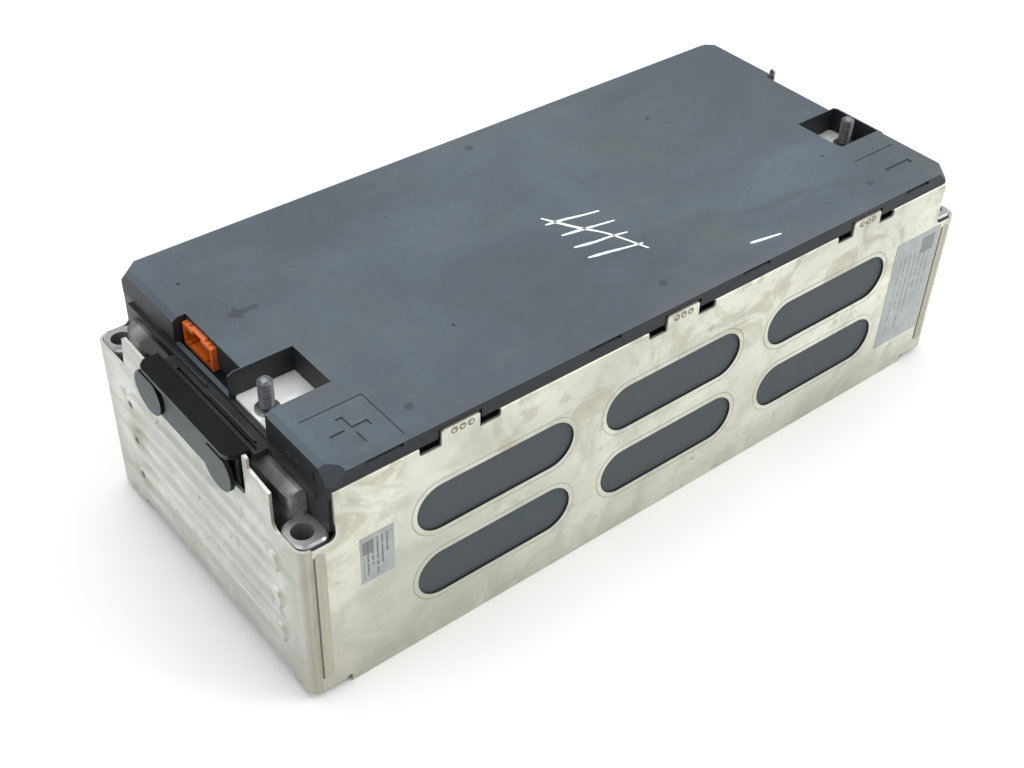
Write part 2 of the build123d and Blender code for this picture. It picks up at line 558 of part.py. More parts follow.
def top_cover():
    """Moulded cover: a shell with two terminal pockets, two end recesses and a snap skirt."""
    shell = bevelled_shell()
    cavity_x = FACE_HALF_L - FACE_T
    cavity_y = COVER_HALF_W - COVER_T
    cavity = block((-cavity_x, cavity_x), (-cavity_y, cavity_y), (COVER_SEAM_Z - 1, COVER_TOP - COVER_T))
    cavity = chamfer(cavity.edges().filter_by(Axis.Z), CORNER_LEG)
    cavity = chamfer(cavity.faces().sort_by(Axis.Z)[-1].edges(), 1.4)
    shell -= cavity
    skirt_x = HALF_L - CORNER_CUT_X
    for side in (-1, 1):
        reach = (side * (cavity_y - 1), side * HALF_W)
        shell -= block((-skirt_x, skirt_x), reach, (COVER_SEAM_Z - 1, SKIRT_Z))
        for column in (-1, 0, 1):
            x = column * TAB_PITCH
            half = TAB_W / 2 + 1.2
            recess = (side * (INNER_HALF_W - FIT), side * HALF_W)
            shell -= block((x - half, x + half), recess, (SKIRT_Z - 1, PLATE_TOP + TAB_RISE + 0.8))
        for x in SNAP_X:
            for end in (-1, 1):
                snap_z = COVER_TOP - BEVEL_DOWN - SNAP_H / 2 - 0.2
                shell -= Pos(end * x, side * COVER_HALF_W, snap_z) * Box(SNAP_W, 2.4, SNAP_H)
    for end in (-1, 1):
        wall, void = pocket(end)
        shell = shell + wall - void
        back = end * (HALF_L - NOTCH_X)
        wall_x = (back, back - end * POCKET_WALL)
        shell += block(wall_x, (NOTCH_Y[0], NOTCH_Y[1] + POCKET_WALL), (TERMINAL_Z + FIT, COVER_TOP - 1))
        cheek_y = (NOTCH_Y[1], NOTCH_Y[1] + POCKET_WALL)
        shell += block((back, end * cavity_x), cheek_y, (TERMINAL_Z + FIT, COVER_TOP - 1))
        shell -= block((back, end * HALF_L), NOTCH_Y, (COVER_SEAM_Z + 1, COVER_TOP + 1))
    conn = (CONN_Y[0] - FIT, CONN_Y[1] + FIT)
    port_x = (-HALF_L + NOTCH_X - 1, -HALF_L + NOTCH_X + POCKET_WALL + 1)
    shell -= block(port_x, conn, (COVER_SEAM_Z - 1, CONN_TOP + FIT))
    for mark in polarity_marks():
        shell -= mark
    for y, width, z in FACE_SLOTS:
        face = -FACE_HALF_L
        shell -= block((face - 1, face + FACE_SLOT_D), (y - width / 2, y + width / 2), z)
    return shell


# ---- sensing board, connector, clip -------------------------------------------------------
def sensing_board():
    """Flat circuit that runs under the cover from end to end, on the two shelves."""
    z = SHELF_Z + SHELF_T
    half_x = FACE_HALF_L - BOARD_BACK
    return block((-half_x, half_x), BOARD_Y, (z, z + BOARD_T))


def connector():
    """Header on the board, with its keyed mouth towards -X."""
    low = SHELF_Z + SHELF_T + BOARD_T
    front = -HALF_L + CONN_FRONT
    body = block((front, front + CONN_LENGTH), CONN_Y, (low, CONN_TOP))
    mouth_y = (CONN_Y[0] + CONN_WALL, CONN_Y[1] - CONN_WALL)
    mouth_z = (low + CONN_WALL + 0.8, CONN_TOP - CONN_WALL)
    body -= block((front - 1, front + CONN_DEPTH), mouth_y, mouth_z)
    middle = (CONN_Y[0] + CONN_Y[1]) / 2
    body -= block((front - 1, front + 5), (middle - 3, middle + 3), (CONN_TOP - 3, CONN_TOP + 1))
    for side in (-1, 1):
        y = middle + side * 6.5
        body -= block((front - 1, front + 8), (y - 0.7, y + 0.7), (low + 1.2, low + 4))
    return body


def clip():
    """Push-on guard on the -X end: rounded top plate, apron and two round-ended ears."""
    out = -HALF_L - CLIP_OUT
    inner = -HALF_L + BLOCK_WALL_OUT
    middle = (CLIP_Y[0] + CLIP_Y[1]) / 2
    plate = block((out, inner), CLIP_Y, (CLIP_TOP - CLIP_T, CLIP_TOP))
    outer_edges = plate.edges().filter_by(Axis.Z).sort_by(Axis.X)[:2]
    plate = fillet(outer_edges, 5)
    apron_x = (-HALF_L - 1.8, -HALF_L - FIT)
    apron = block(apron_x, (CLIP_Y[0] + 4, CLIP_Y[1] - 4), (APRON_LOW, CLIP_TOP - CLIP_T))
    guard = plate + apron
    for side in (-1, 1):
        y = middle + side * ((CLIP_Y[1] - CLIP_Y[0]) / 2 - EAR_W / 2 + 2)
        ear_h = CLIP_TOP - EAR_LOW - CLIP_T
        tongue = Pos(0, EAR_W * 0.45) * Rectangle(EAR_W, ear_h, align=(Align.CENTER, Align.MIN))
        ear = Ellipse(EAR_W / 2, EAR_W * 0.45) + tongue
        ear = ear & Rectangle(2 * EAR_W, 4 * ear_h)
        ear = Plane.YZ * (Pos(y, EAR_LOW + EAR_W * 0.45) * ear)
        ear = ear & Plane.YZ * Pos(y, EAR_LOW + ear_h / 2) * Rectangle(EAR_W, ear_h)
        guard += Pos(-HALF_L - 1.8, 0, 0) * extrude(ear, EAR_T, dir=(-1, 0, 0))
    spine_x = (inner - 1.6, inner - 0.1)
    guard += block(spine_x, (CLIP_Y[0] + 6, CLIP_Y[1] - 6), (CLIP_GAP_Z, CLIP_TOP - CLIP_T / 2))
    for side in (-1, 1):
        y = middle + side * ((CLIP_Y[1] - CLIP_Y[0]) / 2 - 2)
        leg_x = (-HALF_L + END_T + FIT, inner - 1.2)
        guard += block(leg_x, (y - 1.6, y + 1.6), (APRON_LOW, CLIP_TOP - CLIP_T / 2))
    return guard


def label(place):
    """Bare film label on the -Y side plate."""
    x, z, width, height = place
    return Pos(x, -HALF_W, z) * Rot(90, 0, 0) * extrude(Rectangle(width, height), LABEL_T)


# ---- nodes --------------------------------------------------------------------------------
save("bottom_plate", base_plate())
save("side_plate_right", side_plate())
save("side_plate_left", mirror(side_plate(), Plane.XZ))
save("end_sheet_front", end_sheet())
save("end_sheet_rear", rear(end_sheet()))
save("end_block_front", end_block())
save("end_block_rear", rear(end_block()))
save("thermal_pad", thermal_pad())
for number in range(CELL_COUNT):
    save("cell_%02d" % (number + 1), cell(number))
for number in range(CELL_COUNT - 1):
    save("spacer_pad_%02d" % (number + 1), spacer(number))
save("side_pad_right", side_pad())
save("side_pad_left", mirror(side_pad(), Plane.XZ))
save("busbar_frame_front", tab_frame())
save("busbar_frame_rear", rear_tab_frame())
save("busbar_tray_front", end_tray())
save("busbar_tray_rear", across(end_tray()))
save("terminal_plate_positive", positive_terminal())
save("terminal_plate_negative", negative_terminal())
save("busbar_front", bar(GROUP, CELL_COUNT - 1))
save("busbar_rear", across(bar(0, 2 * GROUP - 1)))
save("terminal_stud_positive", stud())
save("terminal_stud_negative", across(stud()))
save("top_cover", top_cover())
save("sensing_board", sensing_board())
save("sensing_connector", connector())
save("end_clip", clip())
save("label_small", label(SMALL_LABEL))
save("label_large", label(LARGE_LABEL))
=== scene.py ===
"""Battery module of the twelve-pouch-cell format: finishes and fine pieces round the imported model.

Lengths are millimetres until a mesh is made, and X runs along the module, from the positive end.
"""
from __future__ import annotations

import logging
import math
import random
from dataclasses import dataclass, field
from enum import Enum

import bpy
from mathutils import Matrix, Vector

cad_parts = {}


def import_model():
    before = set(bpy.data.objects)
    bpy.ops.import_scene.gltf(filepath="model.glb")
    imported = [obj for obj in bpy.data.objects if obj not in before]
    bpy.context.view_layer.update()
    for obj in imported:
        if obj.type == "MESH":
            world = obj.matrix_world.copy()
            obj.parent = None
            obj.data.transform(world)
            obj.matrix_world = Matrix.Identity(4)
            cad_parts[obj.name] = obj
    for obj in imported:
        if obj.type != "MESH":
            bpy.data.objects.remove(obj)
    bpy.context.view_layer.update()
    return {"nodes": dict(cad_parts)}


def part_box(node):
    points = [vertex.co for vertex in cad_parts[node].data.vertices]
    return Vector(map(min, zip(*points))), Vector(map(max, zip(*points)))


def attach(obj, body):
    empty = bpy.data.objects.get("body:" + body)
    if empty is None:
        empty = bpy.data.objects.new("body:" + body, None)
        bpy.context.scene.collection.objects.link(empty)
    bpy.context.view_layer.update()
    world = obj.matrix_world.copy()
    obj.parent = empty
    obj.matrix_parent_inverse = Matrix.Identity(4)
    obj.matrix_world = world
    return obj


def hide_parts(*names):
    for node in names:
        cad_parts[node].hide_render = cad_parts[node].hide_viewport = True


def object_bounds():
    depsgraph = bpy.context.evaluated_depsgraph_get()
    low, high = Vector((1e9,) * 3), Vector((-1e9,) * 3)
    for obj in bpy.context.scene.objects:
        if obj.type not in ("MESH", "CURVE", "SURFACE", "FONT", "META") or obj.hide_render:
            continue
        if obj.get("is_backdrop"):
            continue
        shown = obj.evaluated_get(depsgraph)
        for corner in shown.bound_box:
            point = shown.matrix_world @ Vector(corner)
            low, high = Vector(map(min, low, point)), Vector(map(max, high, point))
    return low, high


MM = 0.001
ROOT = "root"
LOG = logging.getLogger("battery_module")
Colour = tuple[float, float, float]
Point = tuple[float, float, float]


class Axis(Enum):
    """The three axes of the row frame, by their place in a vector."""

    X = 0
    Y = 1
    Z = 2


class Layout(Enum):
    """How the printed field of a label is divided."""

    SMALL = "small"
    LARGE = "large"


@dataclass(frozen=True)
class Print:
    """The printed field of a label; spans are shares of the label's width and height.

    The columns run up the label between the ends and the sides, broken by the grain.
    """

    columns: float
    grain: float
    ends: tuple[float, float]
    sides: tuple[float, float]
    strength: float
    square: tuple[tuple[float, float], tuple[float, float]]


PRINTS = {
    Layout.SMALL: Print(7.0, 900.0, (0.08, 0.90), (0.08, 0.86), 0.85, ((0.06, 0.36), (0.62, 0.90))),
    Layout.LARGE: Print(9.0, 700.0, (0.10, 0.84), (0.16, 0.90), 0.5, ((0.60, 0.90), (0.80, 0.95))),
}


def scaled(colour: Colour, factor: float) -> Colour:
    """A colour made darker or lighter by a factor, held below white."""
    return tuple(min(c * factor, 1.0) for c in colour)


def turns(count: int) -> list[float]:
    """Angles spread evenly over one turn."""
    return [2 * math.pi * k / count for k in range(count)]


# ---- node graphs ---------------------------------------------------------------------------
class Graph:
    """A material's node tree, with short calls for the nodes that the finishes share."""

    def __init__(self, name: str) -> None:
        """Starts an empty material with a Principled shader.

        Args:
            name: the material's name.
        """
        self.material = bpy.data.materials.new(name)
        self.material.use_nodes = True
        self.tree = self.material.node_tree
        self.tree.nodes.clear()
        self.shader = self.tree.nodes.new("ShaderNodeBsdfPrincipled")
        out = self.tree.nodes.new("ShaderNodeOutputMaterial")
        self.link(self.shader.outputs["BSDF"], out.inputs["Surface"])
        coords = self.tree.nodes.new("ShaderNodeTexCoord")
        self.place = coords.outputs["Object"]
        split = self.tree.nodes.new("ShaderNodeSeparateXYZ")
        self.link(self.place, split.inputs[0])
        self.axes = [split.outputs[i] for i in range(3)]

    def link(self, a: bpy.types.NodeSocket, b: bpy.types.NodeSocket) -> None:
        """Joins two sockets."""
        self.tree.links.new(a, b)

    def _feed(self, socket: bpy.types.NodeSocket, value: object) -> None:
        """Sets a socket to a number or colour, or links it to another socket."""
        if isinstance(value, bpy.types.NodeSocket):
            self.link(value, socket)
        else:
            socket.default_value = value

    def constant(self, socket: str, value: object) -> None:
        """Sets one of the shader's own sockets."""
        self.shader.inputs[socket].default_value = value

    def shade(self, socket: str, value: bpy.types.NodeSocket) -> None:
        """Links one of the shader's sockets."""
        self.link(value, self.shader.inputs[socket])

    def calc(self, op: str, a: object, b: object = 0.0, c: object = 0.0) -> bpy.types.NodeSocket:
        """One Math node.

        Args:
            op: the node's operation.
            a: first number or socket.
            b: second number or socket.
            c: third number or socket.

        Returns:
            The result's socket.
        """
        node = self.tree.nodes.new("ShaderNodeMath")
        node.operation = op
        for socket, value in zip(node.inputs, (a, b, c)):
            self._feed(socket, value)
        return node.outputs[0]

    def times(self, a: object, b: object) -> bpy.types.NodeSocket:
        """The product of two numbers or sockets."""
        return self.calc("MULTIPLY", a, b)

    def reach(self, a: bpy.types.NodeSocket, b: bpy.types.NodeSocket) -> bpy.types.NodeSocket:
        """The length whose two square parts are given."""
        return self.calc("SQRT", self.calc("MULTIPLY_ADD", a, a, self.times(b, b)))

    def inside(self, value: bpy.types.NodeSocket, start: float, stop: float) -> bpy.types.NodeSocket:
        """1 where a value lies between two limits, and 0 elsewhere."""
        return self.times(self.calc("GREATER_THAN", value, start), self.calc("LESS_THAN", value, stop))

    def ramp(self, value: object, low: float, high: float, out_low: float = 0.0,
             out_high: float = 1.0) -> bpy.types.NodeSocket:
        """Maps a value smoothly from one range to another, held at both ends.

        Args:
            value: the number or socket to map.
            low: where the result is out_low.
            high: where the result is out_high.
            out_low: result at low.
            out_high: result at high.

        Returns:
            The result's socket.
        """
        node = self.tree.nodes.new("ShaderNodeMapRange")
        node.interpolation_type = "SMOOTHSTEP"
        for socket, number in zip(node.inputs, (value, low, high, out_low, out_high)):
            self._feed(socket, number)
        return node.outputs[0]

    def mapped(self, scale: Point, offset: Point = (0.0, 0.0, 0.0)) -> bpy.types.NodeSocket:
        """Object coordinates stretched by scale and moved by offset."""
        node = self.tree.nodes.new("ShaderNodeMapping")
        self.link(self.place, node.inputs[0])
        node.inputs["Location"].default_value = offset
        node.inputs["Scale"].default_value = scale
        return node.outputs[0]

    def noise(self, scale: float, detail: float = 3.0, rough: float = 0.5,
              stretch: Point = (1.0, 1.0, 1.0), warp: float = 0.0,
              seed: float = 0.0) -> bpy.types.NodeSocket:
        """Cloudy noise, from 0 to 1.

        Args:
            scale: features per metre.
            detail: octaves.
            rough: share that each octave keeps.
            stretch: scale along each axis.
            warp: distortion.
            seed: moves the pattern elsewhere.

        Returns:
            The noise's factor socket.
        """
        node = self.tree.nodes.new("ShaderNodeTexNoise")
        self.link(self.mapped(stretch, (seed, seed * 0.7, seed * 1.3)), node.inputs["Vector"])
        for key, value in (("Scale", scale), ("Detail", detail), ("Roughness", rough), ("Distortion", warp)):
            node.inputs[key].default_value = value
        return node.outputs[0]

    def specks(self, scale: float, size: float, stretch: Point = (1.0, 1.0, 1.0)) -> bpy.types.NodeSocket:
        """Scattered round specks, 1 at their middles.

        Args:
            scale: cells per metre.
            size: radius of a speck as a share of its cell.
            stretch: scale along each axis.

        Returns:
            The mask's socket.
        """
        node = self.tree.nodes.new("ShaderNodeTexVoronoi")
        self.link(self.mapped(stretch), node.inputs["Vector"])
        node.inputs["Scale"].default_value = scale
        return self.ramp(node.outputs["Distance"], size, size * 0.4)

    def mix(self, factor: object, a: object, b: object) -> bpy.types.NodeSocket:
        """Mixes two colours, each a socket or an RGB triple."""
        node = self.tree.nodes.new("ShaderNodeMix")
        node.data_type = "RGBA"
        self._feed(node.inputs[0], factor)
        for index, value in ((6, a), (7, b)):
            self._feed(node.inputs[index], (*value, 1.0) if isinstance(value, tuple) else value)
        return node.outputs[2]

    def clouded(self, cloud: bpy.types.NodeSocket, tone: Colour, dark: float, light: float,
                low: float = 0.3, high: float = 0.7) -> bpy.types.NodeSocket:
        """Runs a tone from a darker to a lighter shade with a cloudy value.

        Args:
            cloud: the value that the shade follows.
            tone: the middle colour.
            dark: factor on the tone at the low end.
            light: factor on the tone at the high end.
            low: the cloud's value at the low end.
            high: the cloud's value at the high end.

        Returns:
            The colour's socket.
        """
        return self.mix(self.ramp(cloud, low, high), scaled(tone, dark), scaled(tone, light))

    def facing(self, axis: Axis) -> bpy.types.NodeSocket:
        """The part of the surface normal along one axis of the row frame."""
        geometry = self.tree.nodes.new("ShaderNodeNewGeometry")
        split = self.tree.nodes.new("ShaderNodeSeparateXYZ")
        self.link(geometry.outputs["Normal"], split.inputs[0])
        return split.outputs[axis.value]

    def edge_mask(self, low: float, high: float) -> bpy.types.NodeSocket:
        """A mask that rises along sharp convex edges."""
        geometry = self.tree.nodes.new("ShaderNodeNewGeometry")
        return self.ramp(geometry.outputs["Pointiness"], low, high)

    def bump(self, parts: list[tuple[bpy.types.NodeSocket, float]]) -> None:
        """Adds up heights, each with its depth in millimetres, into one bump.

        Args:
            parts: pairs of a height socket and its depth.
        """
        total: object = 0.0
        for socket, depth in parts:
            total = self.calc("MULTIPLY_ADD", socket, depth, total)
        node = self.tree.nodes.new("ShaderNodeBump")
        node.inputs["Strength"].default_value = 1.0
        node.inputs["Distance"].default_value = MM
        self._feed(node.inputs["Height"], total)
        self.link(node.outputs[0], self.shader.inputs["Normal"])

    def near(self, x: float, y: float, radius: float, soft: float = 0.3) -> bpy.types.NodeSocket:
        """A round spot in plan, 1 inside and 0 outside.

        Args:
            x: middle along X, in millimetres.
            y: middle along Y, in millimetres.
            radius: the spot's radius, in millimetres.
            soft: width of its edge, in millimetres.

        Returns:
            The mask's socket.
        """
        dx = self.calc("SUBTRACT", self.axes[0], x * MM)
        dy = self.calc("SUBTRACT", self.axes[1], y * MM)
        return self.ramp(self.reach(dx, dy), (radius + soft) * MM, radius * MM)


# ---- finishes ------------------------------------------------------------------------------
@dataclass(frozen=True)
class CoverFinish:
    """Black moulded plastic, greyed on top by dust and a painted sheen, with faint moulding marks."""

    name: str = "cover_plastic"
    top: Colour = (0.086, 0.108, 0.129)
    side: Colour = (0.013, 0.014, 0.016)
    marks: tuple[tuple[float, float, float], ...] = (
        (0.4, -62.5, 1.2), (1.3, 63.2, 1.2), (-121.7, -62.5, 1.2), (123.5, -62.5, 1.2))

    def material(self) -> bpy.types.Material:
        """Returns the node material."""
        g = Graph(self.name)
        cloud = g.noise(9.0, 4.0, 0.6, warp=0.6)
        smear = g.noise(22.0, 5.0, 0.65, stretch=(0.5, 1.6, 1.0), warp=1.2, seed=3.0)
        fine = g.noise(420.0, 4.0, 0.6, seed=9.0)
        # Upward faces take the lighter top tone, which is dust together with a painted sheen from the
        # overhead light; the other faces keep the plastic's own near-black.
        up = g.ramp(g.facing(Axis.Z), 0.35, 0.95)
        dust = g.clouded(cloud, self.top, 0.78, 1.14, 0.32, 0.66)
        dust = g.mix(g.ramp(smear, 0.52, 0.75, 0.0, 0.3), dust, (0.13, 0.145, 0.15))
        dust = g.mix(g.ramp(smear, 0.44, 0.28, 0.0, 0.5), dust, (0.060, 0.073, 0.087))
        dust = g.mix(g.ramp(fine, 0.35, 0.7, 0.0, 0.22), dust, (0.06, 0.07, 0.08))
        greasy = g.ramp(g.noise(14.0, 4.0, 0.6, warp=0.8, seed=15.0), 0.5, 0.66, 0.0, 0.55)
        dust = g.mix(greasy, dust, (0.094, 0.104, 0.102))
        plain = g.clouded(fine, self.side, 1.0, 1.5, high=0.8)
        colour = g.mix(up, plain, dust)
        for x, y, radius in self.marks:
            colour = g.mix(g.times(g.near(x, y, radius, 1.2), 0.6), colour, (0.030, 0.036, 0.042))
        white_dust = g.times(g.specks(260.0, 0.10), g.ramp(g.noise(8.0, 2.0, seed=31.0), 0.5, 0.66))
        colour = g.mix(g.times(g.times(white_dust, up), 0.4), colour, (0.40, 0.43, 0.45))
        g.shade("Base Color", colour)
        g.shade("Roughness", g.ramp(g.calc("MULTIPLY_ADD", smear, 0.5, cloud), 0.4, 1.1, 0.44, 0.54))
        g.constant("Specular IOR Level", 0.25)
        g.bump([(g.noise(1500.0, 2.0, 0.5), 0.035), (fine, 0.02)])
        return g.material


@dataclass(frozen=True)
class SheetFinish:
    """Dull rolled sheet with handling stains, clouded patches and thin scratches."""

    name: str
    tone: Colour = (0.66, 0.66, 0.565)
    stain: Colour = (0.36, 0.325, 0.22)
    stain_amount: float = 0.9
    grain: Point = (0.15, 1.0, 6.0)
    windows: bool = False
    wrapped: bool = False
    bead_pitch: float = 19.0
    bead_middle: float = 43.0
    vent_y: float = 48.5
    pitch: float = 91.3
    window_z: tuple[float, float] = (33.0, 67.5)
    straight: float = 26.15
    outline: float = 13.3

    def _window_ring(self, g: Graph) -> bpy.types.NodeSocket:
        """Distance from the window's outline, in metres, the same round all six windows.

        Args:
            g: the graph to add to.

        Returns:
            A mask of the etched line.
        """
        cell = g.calc("WRAP", g.axes[0], self.pitch * 0.5 * MM, -self.pitch * 0.5 * MM)
        along = g.calc("MAXIMUM", g.calc("SUBTRACT", g.calc("ABSOLUTE", cell), self.straight * MM), 0.0)
        middle = sum(self.window_z) / 2
        row = g.calc("ABSOLUTE", g.calc("SUBTRACT", g.axes[2], middle * MM))
        high = g.calc("SUBTRACT", row, (self.window_z[1] - middle) * MM)
        off = g.calc("ABSOLUTE", g.calc("SUBTRACT", g.reach(along, high), self.outline * MM))
        inside = g.ramp(g.calc("ABSOLUTE", g.axes[0]), 0.1385, 0.1375)
        return g.times(g.ramp(off, 0.45 * MM, 0.12 * MM), inside)

    def _wrap(self, g: Graph, colour: bpy.types.NodeSocket) -> bpy.types.NodeSocket:
        """Adds an end sheet's own marks and painted shade: painted shade along the beads and in the vent
        holes, stained vents and brushed corners.

        Args:
            g: the graph to add to.
            colour: the colour so far.

        Returns:
            The new colour.
        """
        # Painted shade along the beads: a darker band on one slope of each bead, broken by streaks, on the
        # faces that look along X.
        rise = g.calc("SUBTRACT", g.axes[2], self.bead_middle * MM)
        turn = g.times(rise, 2 * math.pi / (self.bead_pitch * MM))
        wave = g.calc("SINE", g.calc("SUBTRACT", turn, 0.9))
        streak = g.noise(50.0, 4.0, 0.6, stretch=(1.0, 0.12, 1.6), warp=0.5, seed=33.0)
        face = g.ramp(g.calc("ABSOLUTE", g.facing(Axis.X)), 0.6, 0.9)
        reach = g.times(face, g.ramp(g.calc("ABSOLUTE", g.axes[1]), 0.062, 0.050))
        shade = g.times(reach, g.ramp(g.calc("MULTIPLY_ADD", streak, 1.2, wave), 0.5, -0.5))
        colour = g.mix(g.times(shade, 0.5), colour, scaled(self.tone, 0.62))
        streaks = g.times(face, g.ramp(streak, 0.52, 0.64, 0.0, 0.35))
        colour = g.mix(streaks, colour, (0.34, 0.345, 0.32))
        along = g.times(g.axes[1], g.calc("SIGN", g.axes[0]))
        off_y = g.calc("ADD", along, self.vent_y * MM)
        for step in (-1, 0, 1):
            off_z = g.calc("SUBTRACT", g.axes[2], (self.bead_middle + step * self.bead_pitch) * MM)
            reach = g.reach(off_y, off_z)
            halo = g.times(g.ramp(reach, 0.013, 0.002, 0.0, 0.8), g.ramp(streak, 0.38, 0.56))
            colour = g.mix(halo, colour, (0.30, 0.285, 0.20))
            # Painted shade in each vent hole: a small dark spot at its middle.
            colour = g.mix(g.ramp(reach, 0.0026, 0.0010, 0.0, 0.8), colour, (0.05, 0.05, 0.045))
        corner = g.times(face, g.ramp(g.calc("ABSOLUTE", g.axes[1]), 0.058, 0.074, 0.0, 0.6))
        colour = g.mix(corner, colour, (0.43, 0.42, 0.36))
        brushed = g.noise(160.0, 4.0, 0.6, stretch=(1.0, 1.0, 0.05), seed=37.0)
        side = g.ramp(g.calc("ABSOLUTE", g.facing(Axis.Y)), 0.3, 0.8, 0.0, 0.9)
        tinted = g.mix(g.ramp(brushed, 0.35, 0.65), (0.30, 0.275, 0.215), (0.46, 0.445, 0.375))
        return g.mix(side, colour, tinted)

    def material(self) -> bpy.types.Material:
        """Returns the node material."""
        g = Graph(self.name)
        broad = g.noise(11.0, 4.0, 0.6, warp=1.0)
        patch = g.noise(34.0, 5.0, 0.62, warp=1.6, seed=5.0)
        rolled = g.noise(90.0, 4.0, 0.55, stretch=self.grain, seed=2.0)
        spots = g.noise(70.0, 3.0, 0.5, warp=2.2, seed=12.0)
        colour = g.clouded(broad, self.tone, 0.80, 1.13, 0.32)
        colour = g.mix(g.ramp(rolled, 0.35, 0.7, 0.0, 0.28), colour, scaled(self.tone, 0.88))
        high = g.ramp(g.axes[2], 0.045, 0.102, 0.25, 1.0)
        amount = g.times(g.ramp(patch, 0.49, 0.62, 0.0, 0.6), g.times(high, self.stain_amount))
        colour = g.mix(amount, colour, self.stain)
        haze = g.times(g.ramp(g.noise(18.0, 5.0, 0.7, warp=2.4, seed=17.0), 0.5, 0.66), 0.5)
        colour = g.mix(haze, colour, (0.42, 0.43, 0.38))
        pale = g.times(g.ramp(g.noise(15.0, 4.0, 0.6, warp=1.4, seed=27.0), 0.54, 0.7), 0.35)
        colour = g.mix(pale, colour, (0.80, 0.81, 0.73))
        grime = g.times(g.ramp(spots, 0.62, 0.70), g.ramp(broad, 0.42, 0.58, 0.0, 0.45))
        colour = g.mix(grime, colour, (0.27, 0.26, 0.20))
        foot = g.times(g.ramp(g.axes[2], 0.026, 0.0), g.ramp(patch, 0.3, 0.6, 0.3, 0.6))
        colour = g.mix(foot, colour, (0.37, 0.36, 0.30))
        scratch = g.noise(300.0, 2.0, 0.4, stretch=(0.04, 0.04, 1.0), warp=0.3, seed=7.0)
        scratched = g.times(g.ramp(scratch, 0.7, 0.74), 0.35)
        colour = g.mix(scratched, colour, (0.86, 0.86, 0.8))
        heights = [(rolled, 0.05), (patch, 0.06), (g.noise(900.0, 2.0, 0.5), 0.012)]
        if self.wrapped:
            colour = self._wrap(g, colour)
        if self.windows:
            ring = self._window_ring(g)
            broken = g.ramp(g.noise(60.0, 3.0, 0.5, seed=21.0), 0.3, 0.55, 0.25, 0.75)
            colour = g.mix(g.times(ring, broken), colour, (0.30, 0.27, 0.19))
            heights.append((ring, -0.06))
            # Painted shade on the walls of the window openings: faces that do not look along Y, between 4 and
            # 85 mm up, turn near-black.
            cut = g.ramp(g.calc("ABSOLUTE", g.facing(Axis.Y)), 0.6, 0.4)
            cut = g.times(cut, g.inside(g.axes[2], 0.004, 0.085))
            colour = g.mix(cut, colour, (0.05, 0.05, 0.045))
        g.shade("Base Color", colour)
        g.constant("Metallic", 0.72)
        g.shade("Roughness", g.ramp(g.calc("MULTIPLY_ADD", rolled, 0.4, patch), 0.45, 1.0, 0.34, 0.56))
        g.bump(heights)
        return g.material


@dataclass(frozen=True)
class CastFinish:
    """Die-cast aluminium, fine-grained, with a painted smeared reflection on its top."""

    name: str = "cast_aluminium"
    tone: Colour = (0.36, 0.37, 0.375)
    shelf: float = 82.0

    def material(self) -> bpy.types.Material:
        """Returns the node material."""
        g = Graph(self.name)
        cloud = g.noise(55.0, 4.0, 0.6, warp=0.8)
        grain = g.noise(700.0, 3.0, 0.6)
        colour = g.clouded(cloud, self.tone, 0.45, 1.35, 0.32, 0.62)
        colour = g.mix(g.ramp(grain, 0.5, 0.72, 0.0, 0.4), colour, (0.10, 0.105, 0.11))
        colour = g.mix(g.edge_mask(0.54, 0.62), colour, (0.42, 0.43, 0.43))
        # Painted reflection: above the shelf height, dark streaks stand for the dark side of a smeared
        # reflection on the top slopes.
        rubbed = g.noise(30.0, 3.0, 0.5, stretch=(0.4, 1.0, 0.4), warp=0.4, seed=8.0)
        upper = g.ramp(g.axes[2], self.shelf * MM, (self.shelf + 2.0) * MM)
        upper = g.times(upper, g.ramp(rubbed, 0.62, 0.42))
        colour = g.mix(upper, colour, (0.07, 0.073, 0.077))
        g.shade("Base Color", colour)
        g.constant("Metallic", 0.7)
        g.shade("Roughness", g.ramp(cloud, 0.3, 0.7, 0.42, 0.26))
        g.bump([(grain, 0.05), (cloud, 0.12)])
        return g.material


@dataclass(frozen=True)
class PlasticFinish:
    """Moulded plastic with a fine grain, light scuffs and dust on its upper faces."""

    name: str
    tone: Colour
    rough: tuple[float, float] = (0.32, 0.5)
    dust: float = 0.25
    dust_tone: Colour = (0.10, 0.115, 0.125)
    coat: float = 0.0
    gloss: float = 0.3
    wear: float = 0.3
    front_tone: Colour | None = None

    def material(self) -> bpy.types.Material:
        """Returns the node material."""
        g = Graph(self.name)
        cloud = g.noise(45.0, 4.0, 0.6, warp=0.8)
        grain = g.noise(900.0, 2.0, 0.5)
        colour = g.clouded(cloud, self.tone, 0.75, 1.3)
        settled = g.times(g.ramp(g.facing(Axis.Z), 0.4, 0.95), g.ramp(cloud, 0.25, 0.65, 0.5, 1.0))
        colour = g.mix(g.times(settled, self.dust), colour, self.dust_tone)
        if self.dust:
            colour = g.mix(g.times(g.specks(500.0, 0.12), 0.3), colour, (0.3, 0.31, 0.32))
        rubbed = tuple(min(c * 3 + 0.06, 1.0) for c in self.tone)
        colour = g.mix(g.times(g.edge_mask(0.52, 0.6), self.wear), colour, rubbed)
        if self.front_tone:
            front = g.ramp(g.facing(Axis.X), -0.6, -0.95)
            colour = g.mix(g.times(front, g.ramp(cloud, 0.3, 0.7, 0.65, 1.0)), colour, self.front_tone)
        g.shade("Base Color", colour)
        g.shade("Roughness", g.ramp(cloud, 0.3, 0.7, self.rough[0], self.rough[1]))
        g.constant("Specular IOR Level", self.gloss)
        g.constant("Coat Weight", self.coat)
        g.constant("Coat Roughness", 0.15)
        g.bump([(grain, 0.02), (cloud, 0.03)])
        return g.material


